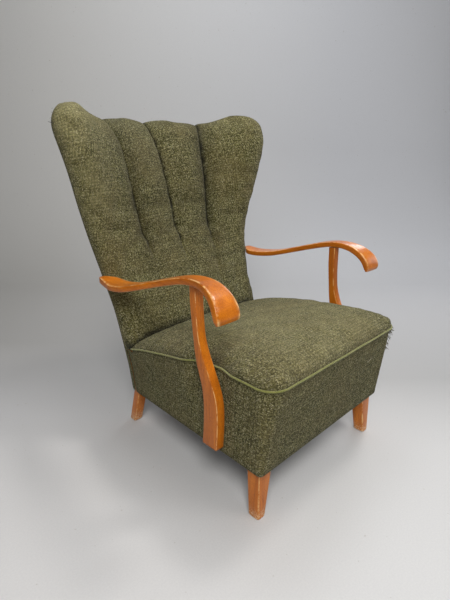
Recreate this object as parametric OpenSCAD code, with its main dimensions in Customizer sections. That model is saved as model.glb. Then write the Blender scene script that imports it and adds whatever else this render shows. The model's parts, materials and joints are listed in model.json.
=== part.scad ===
// Fireside chair: a beech show-wood armchair with a sprung seat and a high fluted back.
// The chair faces -Y, left and right are seen from the front, and lengths are millimetres.
// Heights are above the floor. Depths are measured from the front face of the front legs
// towards the rear, and the finished chair is then moved so that its middle is the origin.

/* [Overall] */
// Height of the back above the floor
overall_h = 1000; // [940:5:1060]
// Width across the ears of the back
ear_spread = 786; // [730:2:820]
// Height of the hem, where the upholstery ends above the legs
hem_z = 141; // [120:1:170]
// Thickness of the covering cloth
cloth_t = 2.2; // [1.5:0.1:3]
// Clearance between pieces that lie against each other
fit = 0.3; // [0.2:0.05:0.5]

/* [Seat] */
// Width of the seat across its side seams
seat_w = 572; // [540:2:600]
// How far the front seam stands in front of the front legs
seat_overhang = 47; // [35:1:60]
// How far the front hem stands in front of the front legs
hem_overhang = 14; // [10:1:20]
// How much narrower the hem is than the seam, on each side
hem_tuck = 5; // [3:0.5:8]
// How much the hem narrows from the front to the rear, on each side
hem_taper = 9; // [4:0.5:12]
// Height of the front seam
seam_z = 382; // [360:1:400]
// How much lower the side seam is at the rear than at the front
seat_fall = 78; // [50:1:90]
// Depth at which the seat meets the back
seat_rear_y = 504; // [490:1:515]
// Height of the seat's crown above the seam
seat_crown = 49; // [35:1:60]
// Distance from the front edge over which the crown rises
crown_run = 170; // [120:5:220]
// Corner radius of the seat's outline at the seam
seat_corner_r = 50; // [35:1:65]
// Corner radius of the seat's outline at the hem
hem_corner_r = 13; // [10:1:30]
// Diameter of the piping
piping_d = 6.2; // [5:0.2:9]
// Thickness of the stuffing below the seam
stuffing_t = 36; // [28:1:44]

/* [Back] */
// Depth of the middle of the back at the hem
back_foot_y = 523; // [515:1:535]
// How far the back leans to the rear, from the hem to its top
back_lean = 290; // [250:5:310]
// Height of the lower edge of the padded back
back_base_z = 290; // [285:1:300]
// Half of the back's thickness at its lower edge
back_half_low = 38; // [34:1:42]
// Half of the back's thickness at its top
back_half_top = 48; // [44:1:54]
// Depth of the grooves between the flutes
flute_depth = 19; // [10:1:24]
// Height at which the grooves end
groove_end_z = 583; // [560:1:610]
// Length over which a groove deepens above its end
groove_run = 60; // [40:5:90]
// Radius of the roll along each side
side_roll = 50; // [40:1:60]
// Radius of the side roll at the hem
hem_roll = 14; // [10:1:20]
// Height of the roll over the top
top_roll = 78; // [60:1:90]
// Corner radius of the ears, seen from the front
ear_corner_r = 60; // [50:1:80]
// How far the top dips where a groove crosses it
notch_drop = 13; // [6:1:18]

/* [Show-wood] */
// Width of a front leg at the hem
leg_w = 44; // [38:1:50]
// Depth of a front leg at the hem
leg_d = 40; // [36:1:46]
// Width of a front foot
foot_w = 28; // [24:1:34]
// Depth of a front foot
foot_d = 36; // [30:1:40]
// How far a front foot splays outwards, to the side and to the front
foot_splay = 4; // [0:1:8]
// Distance between the outer faces of the front legs
leg_spread = 535.4; // [520:1:550]
// Width of a rear leg and of a back post
post_w = 32; // [28:1:34]
// Depth of a back post behind the lower edge of the padded back
post_d = 23; // [21:1:24]
// Depth of a back post at its top, front to rear
post_top_d = 21; // [18:1:22]
// Depth of a rear foot
rear_foot_d = 29; // [25:1:34]
// How far the rear feet stand behind the back at the hem
rear_foot_kick = 47; // [30:1:60]
// How far the outer face of a back post lies inside the side of the back
post_inset = 12; // [10:0.5:16]
// Thickness of an arm post, across the chair
arm_post_t = 26; // [22:1:30]
// Distance from the middle of the chair to the inner face of an arm post
arm_post_x = 279; // [278.4:0.2:280]
// Height of the lower end of an arm post
arm_post_z = 163; // [155:1:180]
// Depth of the foremost point of an arm post
arm_post_y = 107; // [95:1:115]
// How far an arm post sweeps to the rear
arm_post_sweep = 94; // [80:1:105]
// Length of an arm
arm_length = 526; // [500:2:540]
// Depth of the front end of the arms
arm_front_y = 64; // [55:1:75]
// Height of the middle of an arm at its rear end
arm_low_z = 508; // [490:1:525]
// How far an arm arches above its rear end
arm_arch = 84; // [70:1:95]
// Thickness of an arm
arm_t = 18; // [16:0.5:22]
// Distance from the middle of the chair to the inner edge of an arm
arm_inner_x = 276; // [274:0.5:279]
// Width of the scroll at the front of an arm
scroll_w = 72; // [62:1:80]

/* [Seat frame] */
// Thickness of the seat rails
rail_t = 25; // [20:1:28]
// Height of the seat rails
rail_h = 100; // [80:1:108]
// Height of the underside of the seat rails
rail_z = 148; // [147:0.5:152]
// Length of a corner block along the rail
block_len = 55; // [40:1:70]
// Height of a corner block
block_h = 58; // [40:1:64]
// Diameter of the dowels
dowel_d = 10; // [8:1:12]
// Length of the dowels
dowel_len = 40; // [30:1:44]
// Shank diameter of the screws
screw_d = 4.5; // [4:0.25:5]
// Head diameter of the screws
screw_head_d = 9; // [8:0.5:10]

/* [Springing] */
// Width of the webbing straps
strap_w = 50; // [40:1:55]
// Thickness of the webbing
strap_t = 2; // [1.5:0.1:2.2]
// Radius of the top and bottom coil of a spring
coil_r = 42; // [34:1:48]
// Radius of the middle coil of a spring
waist_r = 28; // [22:1:34]
// Diameter of the spring wire
wire_d = 4; // [3:0.25:4.5]
// Turns of a spring
coil_turns = 5; // [4:1:6]
// Thickness of the cloth under the seat
lining_t = 0.8; // [0.6:0.1:1]
// Shank diameter of the tacks
tack_d = 2; // [1.6:0.1:2.4]
// Distance between springs across the seat
spring_pitch_x = 150; // [110:5:165]
// Distance between springs from front to rear
spring_pitch_y = 160; // [110:5:170]
// Depth of the front row of springs
spring_front_y = 88; // [84:1:100]
// Diameter of the lashing cord
lashing_d = 3; // [2:0.25:3.5]
// Thickness of the canvas over springs and webbing
canvas_t = 1.5; // [1:0.1:1.8]
// Width of the back straps
back_strap_w = 45; // [40:1:50]

/* [Hidden] */

// Overrun of every cut past the faces that it opens
over = 1;
show_wood_colour = "peru";
frame_colour = "burlywood";
cloth_colour = "darkolivegreen";
piping_colour = "yellowgreen";
steel_colour = "silver";
canvas_colour = "tan";
fibre_colour = "wheat";

// Shares of the back's rise and lean along its middle and along its sides
centre_lean_shares = [[0, 0], [.115, .031], [.226, .079], [.302, .162], [.418, .307], [.523, .448],
    [.632, .548], [.737, .638], [.839, .762], [.884, .845], [.919, .921], [.942, .966], [.971, .997],
    [1, 1]];
side_lean_shares = [[0, 0], [.115, .031], [.232, .097], [.325, .193], [.418, .279], [.511, .338],
    [.581, .359], [.651, .348], [.744, .317], [.837, .29], [.884, .293], [.93, .328], [.971, .376],
    [1, .421]];
// Shares of the back's rise and of half the ear spread, along its sides
back_width_shares = [[0, .687], [.115, .702], [.232, .73], [.325, .738], [.418, .763], [.511, .799],
    [.604, .847], [.697, .901], [.79, .949], [.837, .972], [.884, .992], [.93, 1], [1, 1]];
// Share of the half width at which the side lean is measured
side_measure_share = .87;
// How much of the side lean applies at a share of that distance: the ears' edges face forwards
side_curve_shares = [[0, 0], [.25, .0625], [.5, .25], [.7, .49], [.85, .72], [.95, .895], [1.04, .99],
    [1.15, 1.02]];
// Shares of the way from the middle to an ear and of the height, along the top
top_line_shares = [[0, .972], [.45, .972], [.6, .974], [.72, .986], [.85, .998], [.93, 1], [1, .995]];
// Share of the half width at which the outer grooves run, and how much more it is at the top
groove_share = .445;
groove_flare_share = .05;
// Places of the grid lines across one flute and across an ear, as shares of its width
flute_line_shares = [0, .1, .28, .5, .72, .9];
ear_line_shares = [0, .1, .28, .5, .68, .82, .92, .98];
// Places of the grid lines up the back, as shares of its height
back_line_shares = [0, .08, .16, .24, .31, .365, .415, .46, .52, .6, .68, .76, .83, .885, .93, .965,
    .99, 1];

// Shares of the length and of the fall of the side seam
seam_fall_shares = [[0, 0], [.2, 0], [.33, .05], [.46, .17], [.66, .43], [.87, .74], [1, 1]];
// Shares of the height and of the sweep of an arm post, along its front and its rear edge
post_front_shares = [[0, .05], [.11, .012], [.222, 0], [.3, .02], [.36, .074], [.44, .22], [.52, .394],
    [.6, .56], [.68, .675], [.75, .72], [.828, .745], [.91, .76], [1, .77]];
post_rear_shares = [[0, .606], [.13, .55], [.265, .532], [.34, .555], [.403, .606], [.47, .7],
    [.532, .79], [.62, .86], [.709, .904], [.8, .95], [.883, .985], [1, 1.01]];
// Stations of an arm: shares of its length, its arch, its thickness and, for both edges, its scroll
arm_station_shares = [[.001, .2, .35, .02, .96], [.004, .3, .8, .005, .99], [.017, .5, 1.05, 0, .965],
    [.04, .67, 1.12, 0, .9], [.074, .82, 1.12, 0, .81], [.116, .93, 1.07, 0, .73],
    [.173, .99, 1, .01, .65], [.24, .98, .96, .03, .63], [.306, .905, .95, .03, .625],
    [.392, .756, .94, .03, .65], [.506, .536, .92, .03, .74], [.61, .333, .92, .03, .86],
    [.722, .137, .95, .02, .965], [.838, .018, .97, .005, .95], [.914, 0, 1, 0, .83],
    [.952, .01, 1, .07, .765], [.981, .02, .97, .24, .71], [1, .028, .86, .38, .67],
    [1.013, .034, .62, .42, .61]];
arm_ring_sides = 12;
arm_ring_power = .45;
// Roundness of a flute's crown, and the share of the half width over which an ear rises to its own
crown_power = .62;
ear_crown_share = .17;
// Places of the rows of the rear cloth between the base of the padding at 0 and the hem at -1
skirt_lines = [-1, -.66, -.33];
corner_steps = 4;
front_steps = 4;
side_line_shares = [.07, .15, .22, .29, .36, .43, .52, .64, .78, .9, 1];
border_line_shares = [0, .3, .6, .85, 1];
// Half of the gap between two borders at a corner
corner_gap = 0.3;

ear_half = ear_spread / 2;
back_rise = overall_h - hem_z;
seat_half = seat_w / 2;
piping_r = piping_d / 2;
leg_x = leg_spread / 2;
rail_x = leg_x - rail_t;
rail_top_z = rail_z + rail_h;
seat_front_y = -seat_overhang;
seam_run = seat_rear_y - seat_front_y;
// Length on each side over which slopes are taken
slope_step = 3;
// Clearance of the stuffing inside its cloth
soft_gap = 2 * fit;

// Interpolation in a table of shares, smooth through every row
function row_slope(rows, k) = let (a = max(k - 1, 0), b = min(k + 1, len(rows) - 1))
    (rows[b][1] - rows[a][1]) / (rows[b][0] - rows[a][0]);
function row_before(rows, t) = max([for (k = [0 : len(rows) - 2]) if (k == 0 || rows[k][0] <= t) k]);
function curve(rows, t) = let (k = row_before(rows, t), w = rows[k + 1][0] - rows[k][0],
    f = (t - rows[k][0]) / w)
    (2 * f * f * f - 3 * f * f + 1) * rows[k][1] + (f * f * f - 2 * f * f + f) * w * row_slope(rows, k)
    + (3 * f * f - 2 * f * f * f) * rows[k + 1][1] + (f * f * f - f * f) * w * row_slope(rows, k + 1);
function mix(a, b, f) = a + (b - a) * f;
function unit_clamp(f) = max(0, min(1, f));
function ease(f) = let (c = unit_clamp(f)) c * c * (3 - 2 * c);
function round_edge(distance, radius) = distance >= radius ? 1
    : sqrt(max(0, 1 - pow(1 - max(0, distance) / radius, 2)));
function flatten(rows) = [for (row = rows) each row];
function unit_vector(v) = v / norm(v);

// Solid between two grids of points with the same rows and columns; turn sets the rim's diagonals
module skin(outer, inner, turn = false) {
    rows = len(outer);
    cols = len(outer[0]);
    total = rows * cols;
    function at(i, j) = i * cols + j;
    sheet = [for (i = [0 : rows - 2], j = [0 : cols - 2]) each [
        [at(i, j), at(i + 1, j + 1), at(i, j + 1)], [at(i, j), at(i + 1, j), at(i + 1, j + 1)]]];
    far_sheet = [for (face = sheet) [total + face[2], total + face[1], total + face[0]]];
    rim_line = concat([for (j = [0 : cols - 2]) at(0, j)], [for (i = [0 : rows - 2]) at(i, cols - 1)],
        [for (j = [cols - 1 : -1 : 1]) at(rows - 1, j)], [for (i = [rows - 1 : -1 : 1]) at(i, 0)]);
    count = len(rim_line);
    rim = [for (k = [0 : count - 1]) let (a = rim_line[k], b = rim_line[(k + 1) % count])
        each turn ? [[a, b, total + a], [b, total + b, total + a]]
            : [[a, b, total + b], [a, total + b, total + a]]];
    polyhedron(concat(flatten(outer), flatten(inner)), concat(sheet, far_sheet, rim));
}

// Solid through a row of closed rings, with a flat fan over each end
module loft(rings) {
    count = len(rings);
    sides = len(rings[0]);
    last = (count - 1) * sides;
    walls = [for (i = [0 : count - 2], j = [0 : sides - 1]) let (k = (j + 1) % sides) each [
        [i * sides + j, (i + 1) * sides + j, (i + 1) * sides + k],
        [i * sides + j, (i + 1) * sides + k, i * sides + k]]];
    first_end = [for (j = [1 : sides - 2]) [0, j, j + 1]];
    last_end = [for (j = [1 : sides - 2]) [last, last + j + 1, last + j]];
    polyhedron(flatten(rings), concat(walls, first_end, last_end));
}

// Round tube along a path that is never upright
module tube(path, r, sides) {
    last = len(path) - 1;
    function heading(i) = unit_vector(path[min(i + 1, last)] - path[max(i - 1, 0)]);
    loft([for (i = [0 : last]) let (side = unit_vector(cross([0, 0, 1], heading(i))),
        up = cross(heading(i), side))
        [for (k = [0 : sides - 1]) path[i] + r * (cos(360 * k / sides) * side
            + sin(360 * k / sides) * up)]]);
}

// Round rod from one point to another
rod_sides = 16;
module rod(a, b, d) {
    way = b - a;
    translate(a)
        rotate([0, acos(way[2] / norm(way)), atan2(way[1], way[0])])
            cylinder(h = norm(way), d = d, $fn = rod_sides);
}

// Screw from the outer face of its head to its tip, and the hole that clears it
screw_head_h = screw_head_d / 3;
module screw(head_at, tip) {
    rod(head_at, tip, screw_d);
    rod(head_at, head_at + screw_head_h * unit_vector(tip - head_at), screw_head_d);
}
module screw_hole(head_at, tip) {
    way = unit_vector(tip - head_at);
    rod(head_at, tip + fit * way, screw_d + 2 * fit);
    rod(head_at - post_d * way, head_at + (screw_head_h + fit) * way, screw_head_d + 2 * fit);
}

module both_sides() {
    children();
    mirror([1, 0, 0])
        children();
}
module left_hand() {
    mirror([1, 0, 0])
        children();
}

// Middle surface of the back: its depth at a place across and a height
function rise_share(z) = (z - hem_z) / back_rise;
function centre_y(z) = back_foot_y + back_lean * curve(centre_lean_shares, rise_share(z));
function side_y(z) = back_foot_y + back_lean * curve(side_lean_shares, rise_share(z));
function plain_half(z) = ear_half * curve(back_width_shares, rise_share(z));
function corner_cut(z) = let (up = z - (overall_h - ear_corner_r))
    up <= 0 ? 0 : ear_corner_r - sqrt(max(0, ear_corner_r * ear_corner_r - up * up));
function back_half(z) = plain_half(z) - corner_cut(z);
function mid_y(x, z) = let (share = abs(x) / (side_measure_share * plain_half(z)))
    mix(centre_y(z), side_y(z), curve(side_curve_shares, share));
function mid_normal(x, z) = unit_vector([
    (mid_y(x - slope_step, z) - mid_y(x + slope_step, z)) / (2 * slope_step), 1,
    (mid_y(x, z - slope_step) - mid_y(x, z + slope_step)) / (2 * slope_step)]);

// Flutes: 0 in a groove and 1 on a crown, at a place across from -1 to 1
function flute_crown(u) = pow(abs(u) <= .5 ? sin(180 * 2 * abs(u))
    : sin(90 * unit_clamp((abs(u) - .5) / ear_crown_share)), crown_power);
function groove_strength(z) = ease((z - groove_end_z) / groove_run);
function groove_place(t) = groove_share + groove_flare_share * ease((t - .85) / .15);
function across_share(u, t) = let (g = groove_place(t))
    abs(u) <= .5 ? 2 * u * g : sign(u) * mix(g, 1, 2 * abs(u) - 1);
function ridge_z(u) = overall_h * curve(top_line_shares, abs(u)) - notch_drop * (1 - flute_crown(u));
function back_depth(z) = mix(back_half_low, back_half_top, rise_share(z));
function roll_at(z) = mix(hem_roll, side_roll, ease((z - back_base_z + side_roll) / (4 * side_roll)));

// Point of the padded back. t runs from -1 at the hem over 0 at the base to 1 at the ridge.
// front is -1 for the front sheet, 1 for the rear one and 0 between them. inset is measured
// inwards from the outside, and margin draws in the outline alone
function back_point(u, t, front, inset, margin, least, lift) =
    let (drawn = inset + margin,
        top_z = ridge_z(u) - drawn,
        z = t < 0 ? mix(back_base_z, hem_z, -t)
            : mix(back_base_z, ridge_z(u), t) - drawn * ease((t - .8) / .2),
        s = across_share(u, t),
        half = back_half(z) - drawn,
        x = s * back_half(z) - sign(s) * drawn * unit_clamp(2 * abs(u) - 1),
        side_edge = round_edge(half - abs(x), roll_at(z)),
        top_edge = round_edge(top_z - z, top_roll),
        groove = front < 0 ? flute_depth * groove_strength(z) * (1 - flute_crown(u)) : 0,
        h = max(least, (back_depth(z) - inset - groove) * side_edge * top_edge))
    [x, mid_y(x, z), z] + (front * h + lift) * mid_normal(x, z);
half_places = concat([for (f = flute_line_shares) mix(0, .5, f)],
    [for (f = ear_line_shares) mix(.5, 1, f)], [1]);
back_places = concat([for (k = [len(half_places) - 1 : -1 : 1]) -half_places[k]], half_places);
function back_sheet(lines, front, inset, margin, least, lift) = [for (t = lines)
    [for (u = back_places) back_point(u, t, front, inset, margin, least, lift)]];
rear_lines = concat(skirt_lines, back_line_shares);
rear_outer = back_sheet(rear_lines, 1, 0, 0, .8 * fit, 0);
rear_inner = back_sheet(rear_lines, 1, cloth_t, 0, .8 * fit, 0);
front_outer = back_sheet(back_line_shares, -1, 0, 0, .8 * fit, 0);
front_inner = back_sheet(back_line_shares, -1, cloth_t, 0, .8 * fit, 0);

// Layers behind the middle surface, front to rear: canvas, upright straps, cross straps, frame
layer_gap = 2 * fit;
canvas_y = layer_gap;
upright_y = canvas_y + canvas_t + layer_gap;
cross_y = upright_y + strap_t + layer_gap;
frame_y = cross_y + strap_t + 1.6 * layer_gap;
// They share one lattice, a strap wide, so that each layer follows the next
cell = back_strap_w;
function cell_z(k) = hem_z + k * cell;
function inner_lines(half) = let (n = floor(half / cell - .6))
    [for (k = [-n - 1 : n]) (k + .5) * cell];
function board_rows(zs, halves, lines, offset) = [for (k = [0 : len(zs) - 1])
    [for (x = concat([-halves[k]], lines, [halves[k]])) [x, mid_y(x, zs[k]) + offset, zs[k]]]];

// Back posts: their place and depth at a height
post_top_z = overall_h - ear_corner_r;
function post_share(z) = ease((z - back_base_z) / (2.5 * side_roll));
function kick_share(z) = ease((z - rail_top_z) / (back_base_z - rail_top_z));
function frame_at(z) = mix(3 * fit, frame_y, kick_share(z));
function post_outer_x(z) = back_half(z) - post_inset * (1 + post_share(z));
function post_inner_x(z) = post_outer_x(z) - post_w;
function post_depth(z) = mix(mix(rear_foot_d, post_d, kick_share(z)), post_top_d, post_share(z));
function post_front_y(z) = mid_y(post_inner_x(z), z) + frame_at(z);
post_zs = concat([for (k = [0 : floor((post_top_z - hem_z) / cell)]) cell_z(k)], [post_top_z]);
block_z = rail_top_z - block_h;
rear_rail_y = post_front_y(block_z);
post_outer_low = post_outer_x(rail_z);
post_inner_low = post_inner_x(rail_top_z);

module front_leg_right() {
    full_z = hem_z - leg_w / 2;
    function ring(w, d, z, out) = let (x = leg_x + out)
        [[x - w, -out, z], [x, -out, z], [x, d - out, z], [x - w, d - out, z]];
    color(show_wood_colour) placed()
        difference() {
            loft([ring(foot_w, foot_d, 0, foot_splay), ring(leg_w, leg_d, full_z, 0),
                ring(leg_w, leg_d, rail_top_z, 0)]);
            rail_dowel_rods(dowel_d + 2 * fit, fit);
        }
}
module front_leg_left() {
    left_hand()
        front_leg_right();
}

// Back post: rear leg and upright in one, its foot kicked to the rear below the hem
module back_post_right() {
    foot_y = back_foot_y + rear_foot_kick;
    function ring(a, b, y_a, y_b, d, z) = [[a, y_a, z], [b, y_b, z], [b, y_b + d, z], [a, y_a + d, z]];
    foot_out = post_outer_x(hem_z);
    color(show_wood_colour) placed()
        difference() {
            loft(concat([ring(foot_out - post_w + over, foot_out - over, foot_y, foot_y,
                rear_foot_d, 0)],
                [for (z = post_zs) let (a = post_inner_x(z), b = post_outer_x(z))
                    ring(a, b, mid_y(a, z) + frame_at(z), mid_y(b, z) + frame_at(z),
                        post_depth(z), z)]));
            rail_dowel_rods(dowel_d + 2 * fit, fit);
            back_dowel_rods(back_dowel_d + 2 * fit, fit);
            screw_hole(arm_screw_head, arm_screw_tip);
        }
}
module back_post_left() {
    left_hand()
        back_post_right();
}

// Seat rails, joined to the legs and posts by pairs of dowels
side_dowel_x = leg_x - rail_t / 2;
rear_dowel_x = mix(rail_x, post_outer_low, .5);
module rail_dowel_rods(d, extra) {
    half = dowel_len / 2 + extra;
    rear_half = post_w / 2 + extra;
    rear_y = rear_rail_y + rail_t / 2;
    for (share = [.25, .75]) {
        z = rail_z + share * rail_h;
        side_z = z + dowel_d;
        side_end_y = post_front_y(side_z);
        both_sides() {
            rod([leg_x - leg_w - half, rail_t / 2, z], [leg_x - leg_w + half, rail_t / 2, z], d);
            rod([side_dowel_x, leg_d - half, side_z], [side_dowel_x, leg_d + half, side_z], d);
            rod([post_inner_low - rear_half, rear_y, z], [post_inner_low + rear_half, rear_y, z], d);
            rod([rear_dowel_x, side_end_y - half, side_z], [rear_dowel_x, side_end_y + half, side_z], d);
        }
    }
}
module rail_dowels() {
    color(frame_colour) placed()
        rail_dowel_rods(dowel_d, 0);
}
module front_rail() {
    half = leg_x - leg_w - fit;
    color(frame_colour) placed()
        difference() {
            translate([-half, 0, rail_z])
                cube([2 * half, rail_t, rail_h]);
            rail_dowel_rods(dowel_d + 2 * fit, fit);
            block_screw_holes();
            tack_rods(tack_d + fit, fit);
        }
}
// The rear rail's ends follow the flare of the posts
module rear_rail() {
    zs = [rail_z, post_zs[1], post_zs[2], rail_top_z];
    right = [for (z = zs) [post_inner_x(z) - 2 * fit, z]];
    color(frame_colour) placed()
        difference() {
            translate([0, rear_rail_y + rail_t, 0])
                rotate([90, 0, 0])
                    linear_extrude(rail_t)
                        polygon(concat(right, turned(right)));
            rail_dowel_rods(dowel_d + 2 * fit, fit);
            block_screw_holes();
            tack_rods(tack_d + fit, fit);
        }
}
module side_rail_right() {
    zs = [for (share = [0, .25, .5, .75, 1]) rail_z + share * rail_h];
    color(frame_colour) placed()
        difference() {
            translate([rail_x, 0, 0])
                rotate([90, 0, 90])
                    linear_extrude(rail_t)
                        polygon(concat([for (z = zs) [post_front_y(z) - 2 * fit, z]],
                            [[leg_d + fit, rail_top_z], [leg_d + fit, rail_z]]));
            rail_dowel_rods(dowel_d + 2 * fit, fit);
            block_screw_holes();
            post_screw_holes();
            tack_rods(tack_d + fit, fit);
        }
}
module side_rail_left() {
    left_hand()
        side_rail_right();
}

// Corner blocks, each screwed to two rails
block_x = rail_x - fit;
block_toe_x = leg_x - leg_w - fit - block_len;
block_rear_y = rear_rail_y - fit;
block_grip = .4 * block_len;
screw_bite = .72 * rail_t;
module front_block() {
    leg_in = leg_x - leg_w - fit;
    color(frame_colour) placed()
        difference() {
            translate([0, 0, block_z])
                linear_extrude(block_h)
                    polygon([[block_x, leg_d + fit + block_len], [block_toe_x, rail_t + fit],
                        [leg_in, rail_t + fit], [leg_in, leg_d + fit], [block_x, leg_d + fit]]);
            block_screw_holes();
        }
}
module rear_block() {
    color(frame_colour) placed()
        difference() {
            translate([0, 0, block_z])
                linear_extrude(block_h)
                    polygon([[block_x, block_rear_y - block_len], [block_x, block_rear_y],
                        [block_toe_x, block_rear_y]]);
            block_screw_holes();
        }
}
module corner_block_front_right() {
    front_block();
}
module corner_block_front_left() {
    left_hand()
        front_block();
}
module corner_block_rear_right() {
    rear_block();
}
module corner_block_rear_left() {
    left_hand()
        rear_block();
}
low_screw_z = block_z + .3 * block_h;
high_screw_z = block_z + .65 * block_h;
toe_screw_x = block_toe_x + .5 * block_len;
// Head and tip of each screw on the right-hand side
block_screw_lines = [
    [[rail_x - block_grip, leg_d + .45 * block_len, low_screw_z],
        [rail_x + screw_bite, leg_d + .45 * block_len, low_screw_z]],
    [[rail_x - block_grip, block_rear_y - .45 * block_len, low_screw_z],
        [rail_x + screw_bite, block_rear_y - .45 * block_len, low_screw_z]],
    [[toe_screw_x, rail_t + .5 * block_grip, high_screw_z],
        [toe_screw_x, rail_t - screw_bite, high_screw_z]],
    [[toe_screw_x, block_rear_y - .5 * block_grip, high_screw_z],
        [toe_screw_x, rear_rail_y + screw_bite, high_screw_z]]];
module block_screw_holes() {
    for (line = block_screw_lines)
        both_sides()
            screw_hole(line[0], line[1]);
}
module corner_block_screws() {
    color(steel_colour) placed()
        for (line = block_screw_lines)
            both_sides()
                screw(line[0], line[1]);
}

// Rails of the back: the first and last lattice line of each
back_rails = [[3, 4], [9, 10], [16, 17]];
back_dowel_d = .8 * dowel_d;
module back_rail(lines) {
    zs = [cell_z(lines[0]), cell_z(lines[1])];
    halves = [for (z = zs) post_inner_x(z) - fit];
    inner = inner_lines(min(halves));
    function rows(depth) = [for (k = [0, 1]) [for (x = concat([-halves[k]], inner, [halves[k]]))
        [x, mid_y(x, zs[k]) + frame_at(zs[k]) + depth * post_depth(zs[k]), zs[k]]]];
    color(frame_colour) placed()
        difference() {
            skin(rows(0), rows(1));
            back_dowel_rods(back_dowel_d + 2 * fit, fit);
        }
}
function rail_core(x, z) = [x, mid_y(x, z) + frame_at(z) + post_depth(z) / 2, z];
module back_dowel_rods(d, extra) {
    reach = post_w / 2 + extra;
    for (lines = back_rails)
        for (share = [.27, .73]) {
            z = cell_z(mix(lines[0], lines[1], share));
            x = post_inner_x(z);
            both_sides()
                rod(rail_core(x - reach, z), rail_core(x + reach, z), d);
        }
}
module back_bottom_rail() {
    back_rail(back_rails[0]);
}
module back_middle_rail() {
    back_rail(back_rails[1]);
}
module back_top_rail() {
    back_rail(back_rails[2]);
}
module back_rail_dowels() {
    color(frame_colour) placed()
        back_dowel_rods(back_dowel_d, 0);
}

// Arms: rings across a path that climbs from the scroll and falls to the rear
function arm_y(row) = arm_front_y + row[0] * arm_length;
function arm_z(row) = arm_low_z + row[1] * arm_arch;
arm_path = [for (row = arm_station_shares) [0, arm_y(row), arm_z(row)]];
arm_last = len(arm_path) - 1;
function arm_heading(k) = unit_vector(arm_path[min(k + 1, arm_last)] - arm_path[max(k - 1, 0)]);
function power(v) = sign(v) * pow(abs(v), arm_ring_power);
function arm_ring(k) = let (row = arm_station_shares[k], h = arm_heading(k), n = [0, -h[2], h[1]],
    x0 = arm_inner_x + row[3] * scroll_w, x1 = arm_inner_x + row[4] * scroll_w)
    [for (j = [0 : arm_ring_sides - 1]) let (a = 360 * j / arm_ring_sides)
        arm_path[k] + [mix(x0, x1, .5 + power(sin(a)) / 2), 0, 0] + arm_t * row[2] / 2 * power(cos(a)) * n];
arm_under_rows = [for (k = [4 : arm_last]) let (p = arm_ring(k)[arm_ring_sides / 2]) [p[1], p[2]]];
function arm_under(y) = lookup(y, arm_under_rows);
module arm_right() {
    color(show_wood_colour) placed()
        difference() {
            loft([for (k = [0 : arm_last]) arm_ring(k)]);
            arm_dowel_rod(dowel_d + 2 * fit, fit);
            screw_hole(arm_screw_head, arm_screw_tip);
        }
}
module arm_left() {
    left_hand()
        arm_right();
}

// Arm posts: side profile from the lower end to the underside of the arm
arm_post_rise = arm_under(arm_post_y + arm_post_sweep) - arm_post_z;
arm_post_mid_x = arm_post_x + arm_post_t / 2;
post_front_line = [for (row = post_front_shares) let (y = arm_post_y + row[1] * arm_post_sweep)
    [y, row[0] < 1 ? arm_post_z + row[0] * arm_post_rise : arm_under(y) - fit]];
post_rear_line = [for (k = [len(post_rear_shares) - 1 : -1 : 0]) let (row = post_rear_shares[k],
    y = arm_post_y + row[1] * arm_post_sweep)
    [y, row[0] < 1 ? arm_post_z + row[0] * arm_post_rise : arm_under(y) - fit]];
module arm_post_right() {
    color(show_wood_colour) placed()
        difference() {
            translate([arm_post_x, 0, 0])
                rotate([90, 0, 90])
                    linear_extrude(arm_post_t)
                        polygon(concat(post_front_line, post_rear_line));
            arm_dowel_rod(dowel_d + 2 * fit, fit);
            post_screw_holes();
        }
}
module arm_post_left() {
    left_hand()
        arm_post_right();
}
arm_dowel_y = (post_front_line[len(post_front_line) - 1][0] + post_rear_line[0][0]) / 2;
module arm_dowel_rod(d, extra) {
    z = arm_under(arm_dowel_y);
    rod([arm_post_mid_x, arm_dowel_y, z - .55 * dowel_len - extra],
        [arm_post_mid_x, arm_dowel_y, z + .7 * arm_t + extra], d);
}
module arm_dowels() {
    color(frame_colour) placed()
        both_sides()
            arm_dowel_rod(dowel_d, 0);
}
post_screw_y = arm_post_y + .28 * arm_post_sweep;
post_screw_zs = [for (share = [.08, .17]) arm_post_z + share * arm_post_rise];
function post_screw_head(z) = [rail_x + fit, post_screw_y, z];
function post_screw_tip(z) = [arm_post_x + .7 * arm_post_t, post_screw_y, z];
module post_screw_holes() {
    for (z = post_screw_zs)
        screw_hole(post_screw_head(z), post_screw_tip(z));
}
module arm_post_screws() {
    color(steel_colour) placed()
        for (z = post_screw_zs)
            both_sides()
                screw(post_screw_head(z), post_screw_tip(z));
}
// The arm's rear end is screwed from behind the back post, through the padding
arm_screw_x = mix(post_inner_x(arm_low_z), post_outer_x(arm_low_z), .6);
arm_screw_head = [arm_screw_x, mid_y(arm_screw_x, arm_low_z) + frame_y + post_depth(arm_low_z) - over,
    arm_low_z];
arm_screw_tip = [arm_inner_x + .22 * scroll_w, arm_front_y + .935 * arm_length, arm_low_z];
module arm_screws() {
    color(steel_colour) placed()
        both_sides()
            screw(arm_screw_head, arm_screw_tip);
}
module arm_screw_channels() {
    way = unit_vector(arm_screw_tip - arm_screw_head);
    both_sides()
        rod(arm_screw_head + layer_gap * way, arm_screw_tip, screw_d + 2 * fit);
}

// Seam line and outline of the seat
function seam_at(y) = seam_z - seat_fall * curve(seam_fall_shares,
    unit_clamp((y - seat_front_y) / seam_run));
// The arm posts press the seat and its piping in over their own width
post_pinch = seat_half - (arm_post_x - piping_d - 5 * fit);
post_mid_y = arm_post_y + .62 * arm_post_sweep;
function pinch_at(y) = post_pinch * (1 - ease((abs(y - post_mid_y) - .36 * arm_post_sweep)
    / (.7 * arm_post_sweep)));
function hem_half(y) = seat_half - hem_tuck - hem_taper * unit_clamp((y - seat_front_y) / seam_run);
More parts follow.
